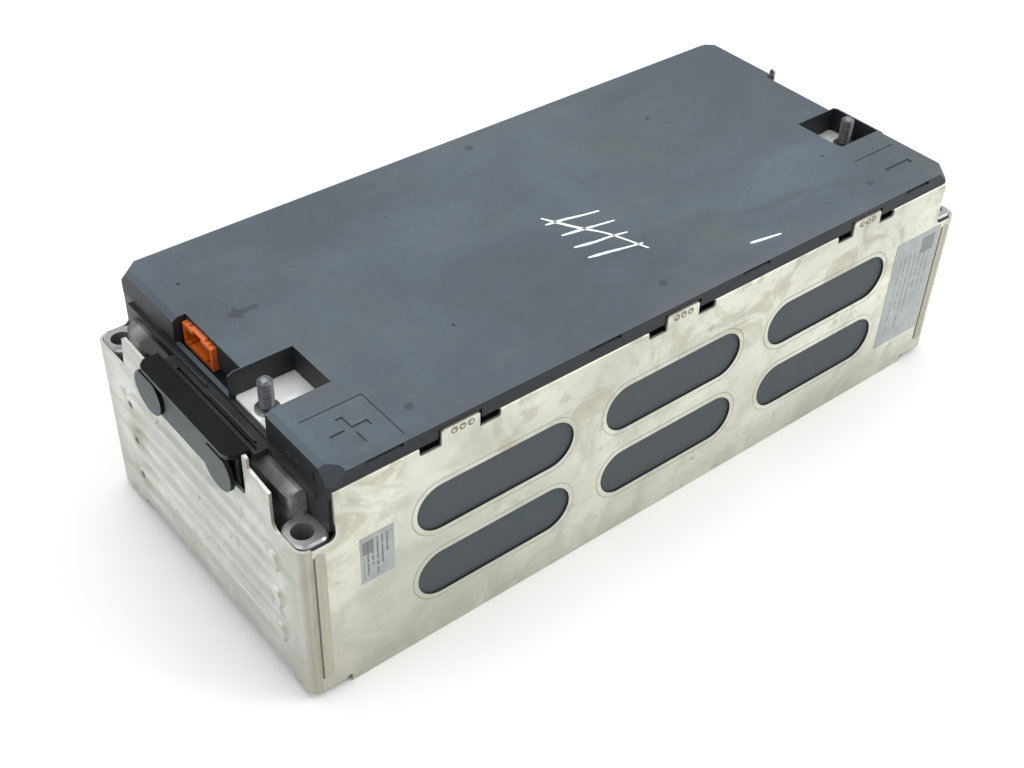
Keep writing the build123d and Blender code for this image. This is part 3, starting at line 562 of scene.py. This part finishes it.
@dataclass(frozen=True)
class PadFinish:
    """Dark blue-grey insulating sheet, faintly woven and rubbed."""

    name: str = "insulation_pad"
    tone: Colour = (0.045, 0.057, 0.064)

    def material(self) -> bpy.types.Material:
        """Returns the node material."""
        g = Graph(self.name)
        cloud = g.noise(28.0, 4.0, 0.6, warp=0.7)
        weave = g.noise(1100.0, 2.0, 0.5, stretch=(1.0, 1.0, 0.35))
        colour = g.clouded(cloud, self.tone, 0.86, 1.12)
        colour = g.mix(g.ramp(weave, 0.4, 0.7, 0.0, 0.25), colour, (0.036, 0.045, 0.052))
        g.shade("Base Color", colour)
        g.shade("Roughness", g.ramp(cloud, 0.3, 0.7, 0.6, 0.78))
        g.bump([(weave, 0.03), (cloud, 0.1)])
        return g.material


@dataclass(frozen=True)
class PlatedFinish:
    """Nickel-plated copper, bright, with tarnish clouds and fingermarks."""

    name: str = "plated_copper"
    tone: Colour = (0.99, 0.99, 0.98)
    rough: tuple[float, float] = (0.14, 0.26)

    def material(self) -> bpy.types.Material:
        """Returns the node material."""
        g = Graph(self.name)
        cloud = g.noise(60.0, 5.0, 0.6, warp=1.5)
        fine = g.noise(500.0, 3.0, 0.5)
        colour = g.mix(g.ramp(cloud, 0.26, 0.4), scaled(self.tone, 0.6), self.tone)
        colour = g.mix(g.ramp(fine, 0.64, 0.78, 0.0, 0.25), colour, (0.52, 0.50, 0.44))
        g.shade("Base Color", colour)
        g.constant("Metallic", 0.35)
        g.shade("Roughness", g.ramp(cloud, 0.25, 0.75, self.rough[1], self.rough[0]))
        g.bump([(cloud, 0.06)])
        return g.material


@dataclass(frozen=True)
class StudFinish:
    """Zinc-plated steel, dull grey, with painted highlights on the thread crests and painted shade in the
    thread roots.
    """

    name: str = "stud_steel"
    tone: Colour = (0.11, 0.115, 0.125)

    def material(self) -> bpy.types.Material:
        """Returns the node material."""
        g = Graph(self.name)
        cloud = g.noise(300.0, 4.0, 0.6)
        fine = g.noise(1500.0, 2.0, 0.5)
        colour = g.clouded(cloud, self.tone, 0.7, 1.25)
        # Painted highlight on the thread crests and painted shade in the thread roots, both following the
        # edge mask.
        colour = g.mix(g.edge_mask(0.52, 0.6), colour, (0.26, 0.27, 0.28))
        colour = g.mix(g.edge_mask(0.48, 0.42), colour, (0.010, 0.011, 0.012))
        g.shade("Base Color", colour)
        g.constant("Metallic", 0.6)
        g.shade("Roughness", g.ramp(cloud, 0.3, 0.7, 0.3, 0.5))
        g.bump([(fine, 0.02), (cloud, 0.03)])
        return g.material


@dataclass(frozen=True)
class WeldFinish:
    """Heat-tinted weld metal, straw to brown."""

    name: str = "weld_metal"
    tone: Colour = (0.43, 0.405, 0.325)
    stretch: Point = (3.0, 1.0, 0.12)
    seams: tuple[float, ...] = ()

    def material(self) -> bpy.types.Material:
        """Returns the node material."""
        g = Graph(self.name)
        cloud = g.noise(120.0, 4.0, 0.6, stretch=self.stretch, warp=0.8)
        fine = g.noise(800.0, 3.0, 0.5, stretch=self.stretch)
        colour = g.clouded(cloud, self.tone, 0.85, 1.15)
        colour = g.mix(g.ramp(fine, 0.58, 0.70, 0.0, 0.4), colour, (0.20, 0.165, 0.115))
        for x in self.seams:
            off = g.calc("ABSOLUTE", g.calc("SUBTRACT", g.axes[0], x * MM))
            colour = g.mix(g.ramp(off, 0.6 * MM, 0.2 * MM, 0.0, 0.85), colour, (0.07, 0.06, 0.045))
        g.shade("Base Color", colour)
        g.constant("Metallic", 0.7)
        g.shade("Roughness", g.ramp(cloud, 0.3, 0.7, 0.35, 0.55))
        g.bump([(fine, 0.06), (cloud, 0.1)])
        return g.material


@dataclass(frozen=True)
class PaintFinish:
    """White paint-pen ink, thin at its edges."""

    name: str = "marker_paint"
    tone: Colour = (0.86, 0.88, 0.89)

    def material(self) -> bpy.types.Material:
        """Returns the node material."""
        g = Graph(self.name)
        thin = g.noise(420.0, 4.0, 0.6)
        colour = g.mix(g.ramp(thin, 0.52, 0.76, 0.0, 0.4), self.tone, (0.55, 0.58, 0.6))
        g.shade("Base Color", colour)
        g.shade("Roughness", g.ramp(thin, 0.3, 0.7, 0.35, 0.55))
        g.bump([(thin, 0.03)])
        return g.material


@dataclass(frozen=True)
class LabelFinish:
    """White film with plain grey bars and a plain square in place of print."""

    name: str
    node: str
    layout: Layout
    paper: Colour = (0.30, 0.33, 0.325)
    ink: Colour = (0.075, 0.08, 0.085)

    def material(self) -> bpy.types.Material:
        """Returns the node material."""
        g = Graph(self.name)
        low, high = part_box(self.node)
        across = g.calc("DIVIDE", g.calc("SUBTRACT", g.axes[0], low.x), high.x - low.x)
        up = g.calc("DIVIDE", g.calc("SUBTRACT", g.axes[2], low.z), high.z - low.z)
        field_print = PRINTS[self.layout]
        steps = g.times(across, field_print.columns)
        wave = g.calc("FRACT", steps)
        bar = g.times(g.ramp(wave, 0.30, 0.36), g.ramp(wave, 0.72, 0.66))
        dash = g.noise(field_print.grain, 1.0, 0.3, stretch=(0.3, 0.1, 1.0), seed=6.0)
        bar = g.times(bar, g.ramp(dash, 0.36, 0.42))
        wander = g.calc("FRACT", g.times(g.calc("SINE", g.calc("FLOOR", steps)), 7.31))
        bar = g.times(bar, g.calc("GREATER_THAN", up, g.calc("MULTIPLY_ADD", wander, 0.42, 0.06)))
        bar = g.times(bar, g.times(g.inside(up, *field_print.ends), g.inside(across, *field_print.sides)))
        paper = g.clouded(g.noise(70.0, 4.0, 0.6, warp=0.6), self.paper, 0.88, 1.12)
        colour = g.mix(g.times(bar, field_print.strength), paper, self.ink)
        wide, tall = field_print.square
        patch = g.times(g.inside(across, *wide), g.inside(up, *tall))
        colour = g.mix(g.times(patch, 0.75), colour, (0.10, 0.105, 0.11))
        g.shade("Base Color", colour)
        g.shade("Roughness", g.ramp(g.noise(200.0, 3.0), 0.3, 0.7, 0.32, 0.45))
        g.constant("Coat Weight", 0.25)
        g.bump([(g.noise(60.0, 3.0, 0.5), 0.06)])
        return g.material


@dataclass(frozen=True)
class FoilFinish:
    """Soft hidden layers: foil, foam, gap filler and circuit board."""

    name: str
    tone: Colour
    metallic: float = 0.0
    rough: float = 0.5

    def material(self) -> bpy.types.Material:
        """Returns the node material."""
        g = Graph(self.name)
        cloud = g.noise(60.0, 4.0, 0.6)
        colour = g.clouded(cloud, self.tone, 0.8, 1.15)
        g.shade("Base Color", colour)
        g.constant("Metallic", self.metallic)
        g.shade("Roughness", g.ramp(cloud, 0.3, 0.7, self.rough - 0.1, self.rough + 0.1))
        g.bump([(cloud, 0.1)])
        return g.material


@dataclass(frozen=True)
class FloorFinish:
    """Plain pale studio floor."""

    name: str = "studio_floor"
    tone: Colour = (0.90, 0.905, 0.90)

    def material(self) -> bpy.types.Material:
        """Returns the node material."""
        g = Graph(self.name)
        soft = g.noise(3.0, 2.0, 0.5)
        g.shade("Base Color", g.mix(g.ramp(soft, 0.3, 0.7), self.tone, scaled(self.tone, 0.985)))
        g.constant("Roughness", 0.7)
        g.constant("Specular IOR Level", 0.2)
        return g.material


# ---- meshes --------------------------------------------------------------------------------
@dataclass
class MeshMaker:
    """Collects vertices and faces in millimetres, and makes one piece of them."""

    verts: list[Point] = field(default_factory=list)
    faces: list[tuple[int, ...]] = field(default_factory=list)

    def rings(self, rings: list[list[Point]], capped: bool = True) -> None:
        """Skins a row of closed rings that have the same number of points.

        Args:
            rings: the rings, in order.
            capped: whether the first and last rings are closed.
        """
        start = len(self.verts)
        count = len(rings[0])
        for ring in rings:
            self.verts.extend(ring)
        for row in range(len(rings) - 1):
            for i in range(count):
                j = (i + 1) % count
                a = start + row * count
                self.faces.append((a + i, a + j, a + count + j, a + count + i))
        if capped:
            self.faces.append(tuple(start + i for i in reversed(range(count))))
            last = start + (len(rings) - 1) * count
            self.faces.append(tuple(last + i for i in range(count)))

    def ribbon(self, path: list[tuple[float, float]], widths: list[float], low: float, thick: float) -> None:
        """Lays a flat ribbon of varying width on a level surface.

        Args:
            path: points in plan.
            widths: the ribbon's width at each point.
            low: height of its underside.
            thick: its thickness.
        """
        rings = []
        for i, (x, y) in enumerate(path):
            x0, y0 = path[max(i - 1, 0)]
            x1, y1 = path[min(i + 1, len(path) - 1)]
            span = math.hypot(x1 - x0, y1 - y0) or 1.0
            nx, ny = -(y1 - y0) / span, (x1 - x0) / span
            half = widths[i] / 2
            section = ((-half, 0.0), (-half * 0.7, thick), (half * 0.7, thick), (half, 0.0))
            rings.append([(x + s * nx, y + s * ny, low + h) for s, h in section])
        self.rings(rings)

    def block(self, low: Point, high: Point, bevel: float = 0.0) -> None:
        """A box from one corner to the other, its vertical edges cut back by a bevel.

        Args:
            low: lowest corner.
            high: highest corner.
            bevel: the cut on the vertical edges and round the top.
        """
        b = bevel
        def outline(inset: float, z: float) -> list[Point]:
            """The box's outline at one height, drawn in by an inset."""
            x0, y0, x1, y1 = low[0] + inset, low[1] + inset, high[0] - inset, high[1] - inset
            if b <= 0:
                return [(x0, y0, z), (x1, y0, z), (x1, y1, z), (x0, y1, z)]
            return [(x0 + b, y0, z), (x1 - b, y0, z), (x1, y0 + b, z), (x1, y1 - b, z),
                    (x1 - b, y1, z), (x0 + b, y1, z), (x0, y1 - b, z), (x0, y0 + b, z)]
        rows = [outline(0.0, low[2]), outline(0.0, high[2] - b), outline(b * 0.6, high[2])]
        self.rings(rows if b > 0 else [rows[0], outline(0.0, high[2])])

    def piece(self, name: str, material: bpy.types.Material, slot: str,
              smooth: bool = True) -> bpy.types.Object:
        """Makes the object, gives it its finish and lets it ride on the module.

        Args:
            name: the piece's name.
            material: its finish.
            slot: not used.
            smooth: whether its faces are shaded smooth below 35 degrees.

        Returns:
            The new object.
        """
        mesh = bpy.data.meshes.new(name)
        mesh.from_pydata([tuple(c * MM for c in v) for v in self.verts], [], self.faces)
        mesh.validate()
        mesh.update()
        mesh.materials.append(material)
        obj = bpy.data.objects.new(name, mesh)
        bpy.context.scene.collection.objects.link(obj)
        if smooth:
            mesh.polygons.foreach_set("use_smooth", [True] * len(mesh.polygons))
            mesh.set_sharp_from_angle(angle=math.radians(35))
        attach(obj, ROOT)
        LOG.info("piece %s: %d faces", name, len(mesh.polygons))
        return obj


def spline(points: list[tuple[float, float]], steps: int = 6) -> list[tuple[float, float]]:
    """Rounds a line through its points with Catmull-Rom curves.

    Args:
        points: the line's points in plan.
        steps: divisions of each span.

    Returns:
        The rounded line.
    """
    out = []
    for i in range(len(points) - 1):
        p = [Vector(points[max(0, min(len(points) - 1, i + k))]) for k in (-1, 0, 1, 2)]
        for s in range(steps):
            t = s / steps
            q = 0.5 * ((2 * p[1]) + (p[2] - p[0]) * t + (2 * p[0] - 5 * p[1] + 4 * p[2] - p[3]) * t * t
                       + (3 * p[1] - p[0] - 3 * p[2] + p[3]) * t ** 3)
            out.append((q.x, q.y))
    out.append(tuple(points[-1]))
    return out


# ---- sub-assemblies ------------------------------------------------------------------------
@dataclass
class Studs:
    """The two terminal studs, with their threads cut."""

    pitch: float = 1.0
    depth: float = 0.72
    radius: float = 3.0
    shank_radius: float = 3.3
    height: float = 14.0
    flange: float = 1.2
    segments: int = 36
    steps_per_turn: int = 8

    def _stud(self, node: str) -> MeshMaker:
        """Builds one stud in the space of its node.

        Args:
            node: the CAD stud.

        Returns:
            The mesh.
        """
        low, high = (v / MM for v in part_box(node))
        cx, cy = (low.x + high.x) / 2, (low.y + high.y) / 2
        flange_r = (high.x - low.x) / 2
        seat = high.z - self.height
        flange_top = seat + self.flange
        radius = self.radius
        maker = MeshMaker()
        rows: list[list[Point]] = []

        def circle(r: float, z: float) -> list[Point]:
            """A level ring of the stud."""
            return [(cx + r * math.cos(t), cy + r * math.sin(t), z) for t in turns(self.segments)]

        for r, z in ((self.shank_radius, low.z), (self.shank_radius, seat), (flange_r, seat),
                     (flange_r, flange_top - 0.3), (flange_r - 0.4, flange_top),
                     (radius + 0.25, flange_top), (radius - 0.35, flange_top + 0.3)):
            rows.append(circle(r, z))
        z = flange_top + 0.7
        top = high.z - 0.8
        while z < top:
            ring = []
            for k, angle in enumerate(turns(self.segments)):
                phase = (z / self.pitch - k / self.segments) % 1.0
                crest = 1.0 - abs(2 * phase - 1.0)
                fade = min(1.0, (z - flange_top - 0.5) / 1.0, (top - z) / 0.8 + 0.25)
                r = radius - self.depth * fade * (1.0 - min(1.0, crest * 1.35))
                ring.append((cx + r * math.cos(angle), cy + r * math.sin(angle), z))
            rows.append(ring)
            z += self.pitch / self.steps_per_turn
        rows += [circle(radius - 0.35, top), circle(radius - 0.9, high.z - 0.1), circle(radius - 1.2, high.z)]
        maker.rings(rows)
        return maker

    def build(self, finish: bpy.types.Material) -> None:
        """Builds both studs and lets them stand for the plain ones.

        Args:
            finish: the studs' material.
        """
        for end in ("positive", "negative"):
            node = f"terminal_stud_{end}"
            piece = self._stud(node).piece(f"threaded_stud_{end}", finish, "stud_steel")
            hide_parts(node)


@dataclass
class Welds:
    """Seam welds at the four upright corners and the curls on the tabs of the side plates."""

    strip_width: float = 5.2
    strip_low: float = 8.7
    strip_high: float = 76.0
    tab_x: tuple[float, ...] = (-108.0, 0.0, 109.0)
    curl_pitch: float = 3.7
    curl_radius: float = 1.25
    curl_z: float = 101.4

    def _strip(self, maker: MeshMaker, x: float, y: float, side: int, end: int) -> None:
        """One upright weld strip: a low rounded ridge on the side plate, with rounded ends.

        Args:
            maker: where it goes.
            x: the seam's place.
            y: the side plate's face.
            side: -1 or 1, the way the face looks.
            end: -1 or 1, which end of the module.
        """
        rng = random.Random(int(10 * x + y))
        steps = 46
        rings = []
        for i in range(steps + 1):
            t = i / steps
            z = self.strip_low + (self.strip_high - self.strip_low) * t
            cap = min(1.0, math.sqrt(max(0.0, 1 - max(0.0, 1 - min(t, 1 - t) * 26) ** 2)) + 0.05)
            half = self.strip_width / 2 * cap
            mid = x - end * self.strip_width / 2 + rng.uniform(-0.04, 0.04)
            ring = []
            for u, h in ((-1, -0.2), (-0.96, 0.10), (-0.62, 0.30), (-0.5, 0.12), (-0.36, 0.14), (-0.2, 0.32),
                         (0.15, 0.28), (0.3, 0.14), (0.45, 0.30), (0.8, 0.26), (0.96, 0.10), (1, -0.2)):
                wobble = rng.uniform(-0.02, 0.02)
                ring.append((mid + u * half * -end, y + side * (h * cap + wobble), z))
            rings.append(ring)
        maker.rings(rings)

    def build(self, strip: bpy.types.Material, curl: bpy.types.Material) -> None:
        """Builds the strips and the curls on both sides.

        Args:
            strip: finish of the seam strips.
            curl: finish of the curls.
        """
        for side, label in ((-1, "right"), (1, "left")):
            low, high = (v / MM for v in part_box(f"side_plate_{label}"))
            face = low.y if side < 0 else high.y
            seam = MeshMaker()
            for end in (-1, 1):
                edge = low.x if end < 0 else high.x
                self._strip(seam, edge, face, side, end)
            seam.piece(f"seam_welds_{label}", strip, "plate_metal")
            curls = MeshMaker()
            rng = random.Random(label)
            for x in self.tab_x:
                for k in (-1, 0, 1):
                    cx = x + k * self.curl_pitch
                    start = rng.uniform(0, 2 * math.pi)
                    path = []
                    for i in range(20):
                        a = start + side * i / 19 * math.radians(560)
                        r = self.curl_radius * (1.0 - 0.55 * max(0, i - 11) / 8)
                        out = face + side * 0.02
                        path.append(Vector((cx + r * math.cos(a), out, self.curl_z + r * math.sin(a))))
                    self._curl(curls, path, side)
            curls.piece(f"tab_welds_{label}", curl, "plate_metal")

    def _curl(self, maker: MeshMaker, path: list[Vector], side: int) -> None:
        """One curl: a thin bead that follows a path in the plate's plane.

        Args:
            maker: where it goes.
            path: its centre line.
            side: the way the plate looks.
        """
        rings = []
        for i, point in enumerate(path):
            way = (path[min(i + 1, len(path) - 1)] - path[max(i - 1, 0)]).normalized()
            out = Vector((0.0, float(side), 0.0))
            flat = way.cross(out).normalized()
            rings.append([tuple(point + 0.3 * math.cos(t) * flat + 0.13 * math.sin(t) * out)
                          for t in turns(6)])
        maker.rings(rings)


@dataclass
class Cover:
    """Fine pieces on the moulded cover: pen strokes, an arrow and the spots of ejector pins."""

    stroke_thick: float = 0.06
    arrow_tip: tuple[float, float] = (-147.2, 19.6)
    arrow_length: float = 13.8
    arrow_head: tuple[float, float] = (6.0, 4.0)
    arrow_half_shaft: float = 1.3
    pins: tuple[tuple[float, float, float], ...] = (
        (-150.9, 49.3, 0.9), (83.6, 35.5, 0.9), (-81.3, -34.7, 0.8), (123.8, -35.0, 0.8), (-60.0, 40.0, 0.5))
    tally: Point = (2.0, -4.0, 9.5)
    tally_length: float = 25.0
    dash: tuple[tuple[float, float], ...] = ((48.1, -63.7), (53.0, -64.6), (59.8, -65.8), (63.5, -66.4))

    def _tally(self, rng: random.Random) -> list[list[tuple[float, float]]]:
        """Four hand-drawn strokes side by side and a fifth across them.

        Args:
            rng: the source of the hand's wander.

        Returns:
            The five centre lines in plan.
        """
        x, y, pitch = self.tally
        lines = []
        for k in range(4):
            start = x - self.tally_length / 2 + rng.uniform(-1.5, 1.5)
            lines.append([(start + t * self.tally_length, y - k * pitch - 5.0 * t + rng.uniform(-0.5, 0.5))
                          for t in (0.0, 0.35, 0.7, 1.0)])
        lines.append([(x - 11.0, y + 5.0), (x - 3.5, y - 0.3 * 3 * pitch), (x + 4.0, y - 0.7 * 3 * pitch),
                      (x + 10.5, y - 3 * pitch - 9.0)])
        return lines

    def build(self, paint: bpy.types.Material, rim: bpy.types.Material) -> None:
        """Builds the pen strokes, the arrow and the ejector-pin spots on the cover's top face.

        Args:
            paint: finish of the strokes.
            rim: finish of the arrow and the spots.
        """
        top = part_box("top_cover")[1].z / MM
        rng = random.Random(11)
        maker = MeshMaker()
        for line in [*self._tally(rng), list(self.dash)]:
            path = spline(line)
            widths = [1.35 + rng.uniform(-0.1, 0.1) + 0.25 * math.sin(i * 0.35) for i in range(len(path))]
            for i in range(min(3, len(widths))):
                widths[i] *= 0.62 + 0.12 * i
                widths[-1 - i] *= 0.62 + 0.12 * i
            maker.ribbon(path, widths, top - 0.01, self.stroke_thick)
        maker.piece("pen_strokes", paint, "label_paper", smooth=False)
        arrow = MeshMaker()
        x, y = self.arrow_tip
        back, half = self.arrow_head
        shaft, tail = self.arrow_half_shaft, x + self.arrow_length
        outline = ((x, y), (x + back, y - half), (x + back, y - shaft), (tail, y - shaft),
                   (tail, y + shaft), (x + back, y + shaft), (x + back, y + half))
        arrow.rings([[(*point, z) for point in outline] for z in (top - 0.3, top + 0.02)])
        arrow.piece("direction_arrow", rim, "cover_plastic", smooth=False)
        marks = MeshMaker()
        for x, y, radius in self.pins:
            marks.rings([[(x + r * math.cos(t), y + r * math.sin(t), top + rise) for t in turns(24)]
                         for r, rise in ((radius, -0.3), (radius, 0.02), (radius * 0.8, 0.03))])
        marks.piece("mould_marks", rim, "cover_plastic")


@dataclass
class Vents:
    """Dark discs at one end of each bead of the two end sheets: painted shade inside the small punched holes.
    """

    heights: tuple[float, ...] = (24.0, 43.0, 62.0)
    inset_y: float = 27.2
    radius: float = 1.1

    def build(self, dark: bpy.types.Material) -> None:
        """Builds the marks on both sheets.

        Args:
            dark: their finish.
        """
        for end, label in ((-1, "front"), (1, "rear")):
            low, high = (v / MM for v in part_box(f"end_sheet_{label}"))
            face = low.x if end < 0 else high.x
            y = -end * (high.y - self.inset_y)
            maker = MeshMaker()
            # Each dark disc is painted shade: it stands for the shade inside a small hole of the sheet.
            for z in self.heights:
                steps = ((-end * 0.6, self.radius), (end * 0.01, self.radius), (0.0, self.radius * 0.5))
                maker.rings([[(face + dx, y + r * math.cos(t), z + r * math.sin(t)) for t in turns(16)]
                             for dx, r in steps])
            maker.piece(f"vent_hole_shade_{label}", dark, "sheet_metal")


@dataclass
class Connector:
    """Contacts and latch of the sensing connector."""

    pins: int = 8
    pin_size: float = 0.64
    wall: float = 1.6

    def build(self, metal: bpy.types.Material, body: bpy.types.Material, dark: bpy.types.Material) -> None:
        """Builds the contacts, the latch ramp and the socket's dark floor.

        Args:
            metal: finish of the contacts.
            body: finish of the latch.
            dark: finish of the insert at the socket's end.
        """
        low, high = (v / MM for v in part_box("sensing_connector"))
        width = high.y - low.y
        contacts = MeshMaker()
        for row in (0.38, 0.62):
            z = low.z + (high.z - low.z) * row
            for i in range(self.pins):
                y = low.y + width * (i + 1.2) / (self.pins + 1.4)
                h = self.pin_size / 2
                contacts.block((low.x + 5.0, y - h, z - h), (low.x + 13.0, y + h, z + h))
        contacts.piece("connector_contacts", metal, "plated_copper", smooth=False)
        latch = MeshMaker()
        mid = (low.y + high.y) / 2
        latch.block((low.x + 0.4, mid - 5.0, high.z - 0.2), (low.x + 7.0, mid + 5.0, high.z + 0.9), 0.5)
        for side in (-1, 1):
            y = mid + side * 7.4
            latch.block((low.x + 0.2, y - 0.7, high.z - 0.2), (low.x + 9.0, y + 0.7, high.z + 0.6), 0.3)
        latch.piece("connector_latch", body, "orange_plastic")
        insert = MeshMaker()
        wall = self.wall
        insert.block((low.x + 11.2, low.y + wall, low.z + wall), (low.x + 11.9, high.y - wall, high.z - wall))
        insert.piece("connector_insert", dark, "frame_plastic", smooth=False)


@dataclass
class Module:
    """The whole module: dresses the carried-over nodes and adds the fine pieces."""

    finishes: dict[str, bpy.types.Material] = field(default_factory=dict)

    def _make_finishes(self) -> None:
        """Makes every material once."""
        seam_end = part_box("side_plate_right")[1].x / MM
        makers = {
            "cover": CoverFinish(),
            "plate": SheetFinish("plate_metal", windows=True),
            "plain_plate": SheetFinish("plate_metal_plain", stain_amount=0.4),
            "sheet": SheetFinish("end_sheet_metal", tone=(0.61, 0.625, 0.585), stain_amount=0.35,
                                 grain=(1.0, 0.15, 6.0), wrapped=True),
            "cast": CastFinish(),
            "frame": PlasticFinish("frame_plastic", (0.007, 0.008, 0.010), dust=0.10, gloss=0.25),
            "clip": PlasticFinish("clip_plastic", (0.006, 0.0065, 0.008), rough=(0.4, 0.5), dust=0.0,
                                  gloss=0.06, wear=0.05, front_tone=(0.115, 0.127, 0.129)),
            "orange": PlasticFinish("orange_plastic", (0.45, 0.072, 0.003), rough=(0.12, 0.24), dust=0.0,
                                    coat=0.7),
            "pad": PadFinish(),
            "dark": PlasticFinish("shadowed_plastic", (0.020, 0.025, 0.030), rough=(0.5, 0.6), dust=0.0),
            "plated": PlatedFinish(),
            "stud": StudFinish(),
            "weld": WeldFinish(seams=(0.5 - seam_end, seam_end - Welds.strip_width + 0.5)),
            "curl": WeldFinish("tab_weld_metal", (0.24, 0.21, 0.145), (1.0, 1.0, 1.0)),
            "paint": PaintFinish(),
            "small_label": LabelFinish("small_label_film", "label_small", Layout.SMALL),
            "large_label": LabelFinish("large_label_film", "label_large", Layout.LARGE),
            "foil": FoilFinish("pouch_foil", (0.6, 0.61, 0.62), 0.8, 0.4),
            "foam": FoilFinish("foam", (0.05, 0.052, 0.055), 0.0, 0.8),
            "filler": FoilFinish("gap_filler", (0.38, 0.4, 0.42), 0.0, 0.6),
            "board": FoilFinish("board", (0.02, 0.12, 0.05), 0.0, 0.4),
        }
        self.finishes = {key: maker.material() for key, maker in makers.items()}

    def _finish_for(self, node: str) -> bpy.types.Material:
        """Picks a carried-over node's finish by its name.

        Args:
            node: the node's name.

        Returns:
            Its material.
        """
        starts = (
            ("side_plate", "plate"), ("bottom_plate", "plain_plate"), ("end_sheet", "sheet"),
            ("end_block", "cast"), ("side_pad", "pad"), ("thermal_pad", "filler"), ("cell", "foil"),
            ("spacer", "foam"), ("busbar_frame", "frame"), ("busbar_tray", "frame"), ("busbar", "plated"),
            ("terminal_plate", "plated"), ("terminal_stud", "stud"), ("top_cover", "cover"),
            ("sensing_board", "board"),
            ("sensing_connector", "orange"), ("end_clip", "clip"), ("label_small", "small_label"),
            ("label_large", "large_label"))
        for start, key in starts:
            if node.startswith(start):
                return self.finishes[key]
        raise ValueError(f"no finish for {node}")

    def dress(self, nodes: dict[str, bpy.types.Object]) -> None:
        """Gives every carried-over node its finish.

        Args:
            nodes: the CAD nodes by name.
        """
        for name, obj in nodes.items():
            finish = self._finish_for(name)
            for index in range(len(obj.material_slots)):
                obj.material_slots[index].material = finish
            LOG.info("node %s: %s", name, finish.name)

    def build(self, nodes: dict[str, bpy.types.Object]) -> None:
        """Builds the module's looks.

        Args:
            nodes: the CAD nodes by name.
        """
        self._make_finishes()
        self.dress(nodes)
        f = self.finishes
        Studs().build(f["stud"])
        Welds().build(f["weld"], f["curl"])
        Cover().build(f["paint"], f["dark"])
        Vents().build(f["dark"])
        Connector().build(f["plated"], f["orange"], f["frame"])


# ---- studio --------------------------------------------------------------------------------
@dataclass
class Studio:
    """Pale floor, soft light all round, a softbox overhead, and the camera."""

    floor_size: float = 6.0
    sky: float = 0.86
    azimuth: float = -39.542
    elevation: float = 39.758
    roll: float = 1.694
    lens: float = 50.42
    eye: Point = (-338.22, -373.82, 437.75)
    shift: tuple[float, float] = (0.01244, -0.0077)

    def _floor(self) -> None:
        """Lays the floor."""
        mesh = bpy.data.meshes.new("studio_floor")
        h = self.floor_size
        mesh.from_pydata([(-h, -h, 0), (h, -h, 0), (h, h, 0), (-h, h, 0)], [], [(0, 1, 2, 3)])
        mesh.materials.append(FloorFinish().material())
        obj = bpy.data.objects.new("studio_floor", mesh)
        obj.location.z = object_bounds()[0][2] - 0.0002
        bpy.context.scene.collection.objects.link(obj)
        obj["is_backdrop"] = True

    def _softbox(self, name: str, place: Point, size: float, power: float) -> None:
        """Hangs one square light that looks at the module.

        Args:
            name: the light's name.
            place: where it hangs, in metres.
            size: its side, in metres.
            power: its power, in watts.
        """
        data = bpy.data.lights.new(name, "AREA")
        data.size = size
        data.energy = power
        obj = bpy.data.objects.new(name, data)
        obj.location = place
        aim = Vector((0.0, 0.0, 0.05)) - Vector(place)
        obj.rotation_euler = aim.to_track_quat("-Z", "Y").to_euler()
        bpy.context.scene.collection.objects.link(obj)

    def _camera(self) -> None:
        """Sets up the camera from its angles."""
        az, el, roll = (math.radians(v) for v in (self.azimuth, self.elevation, self.roll))
        back = Vector((math.sin(az) * math.cos(el), -math.cos(az) * math.cos(el), math.sin(el)))
        right = Vector((math.cos(az), math.sin(az), 0.0))
        up = back.cross(right)
        right, up = (math.cos(roll) * right + math.sin(roll) * up,
                     math.cos(roll) * up - math.sin(roll) * right)
        data = bpy.data.cameras.new("camera")
        data.lens = self.lens
        data.sensor_width = 36.0
        data.shift_x, data.shift_y = self.shift
        data.clip_start = 0.01
        obj = bpy.data.objects.new("camera", data)
        turn = Matrix((right, up, back)).transposed().to_4x4()
        obj.matrix_world = Matrix.Translation(Vector(self.eye) * MM) @ turn
        bpy.context.scene.collection.objects.link(obj)
        bpy.context.scene.camera = obj

    def build(self) -> None:
        """Builds the floor, lights and camera."""
        world = bpy.data.worlds.new("studio")
        world.use_nodes = True
        background = world.node_tree.nodes["Background"]
        background.inputs["Color"].default_value = (0.985, 0.995, 1.0, 1.0)
        background.inputs["Strength"].default_value = self.sky
        bpy.context.scene.world = world
        bpy.context.scene.view_settings.view_transform = "Standard"
        self._floor()
        self._softbox("key_light", (1.3, -1.0, 1.5), 1.3, 19.0)
        self._softbox("top_light", (0.0, 0.4, 1.7), 1.0, 9.0)
        self._softbox("left_light", (-1.5, -0.1, 0.9), 1.3, 4.5)
        self._camera()


def main() -> None:
    """Builds the module and the studio."""
    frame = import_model()
    logging.basicConfig(level=logging.INFO, format="%(message)s")
    Module().build(frame["nodes"])
    Studio().build()


if __name__ == "__main__":
    main()
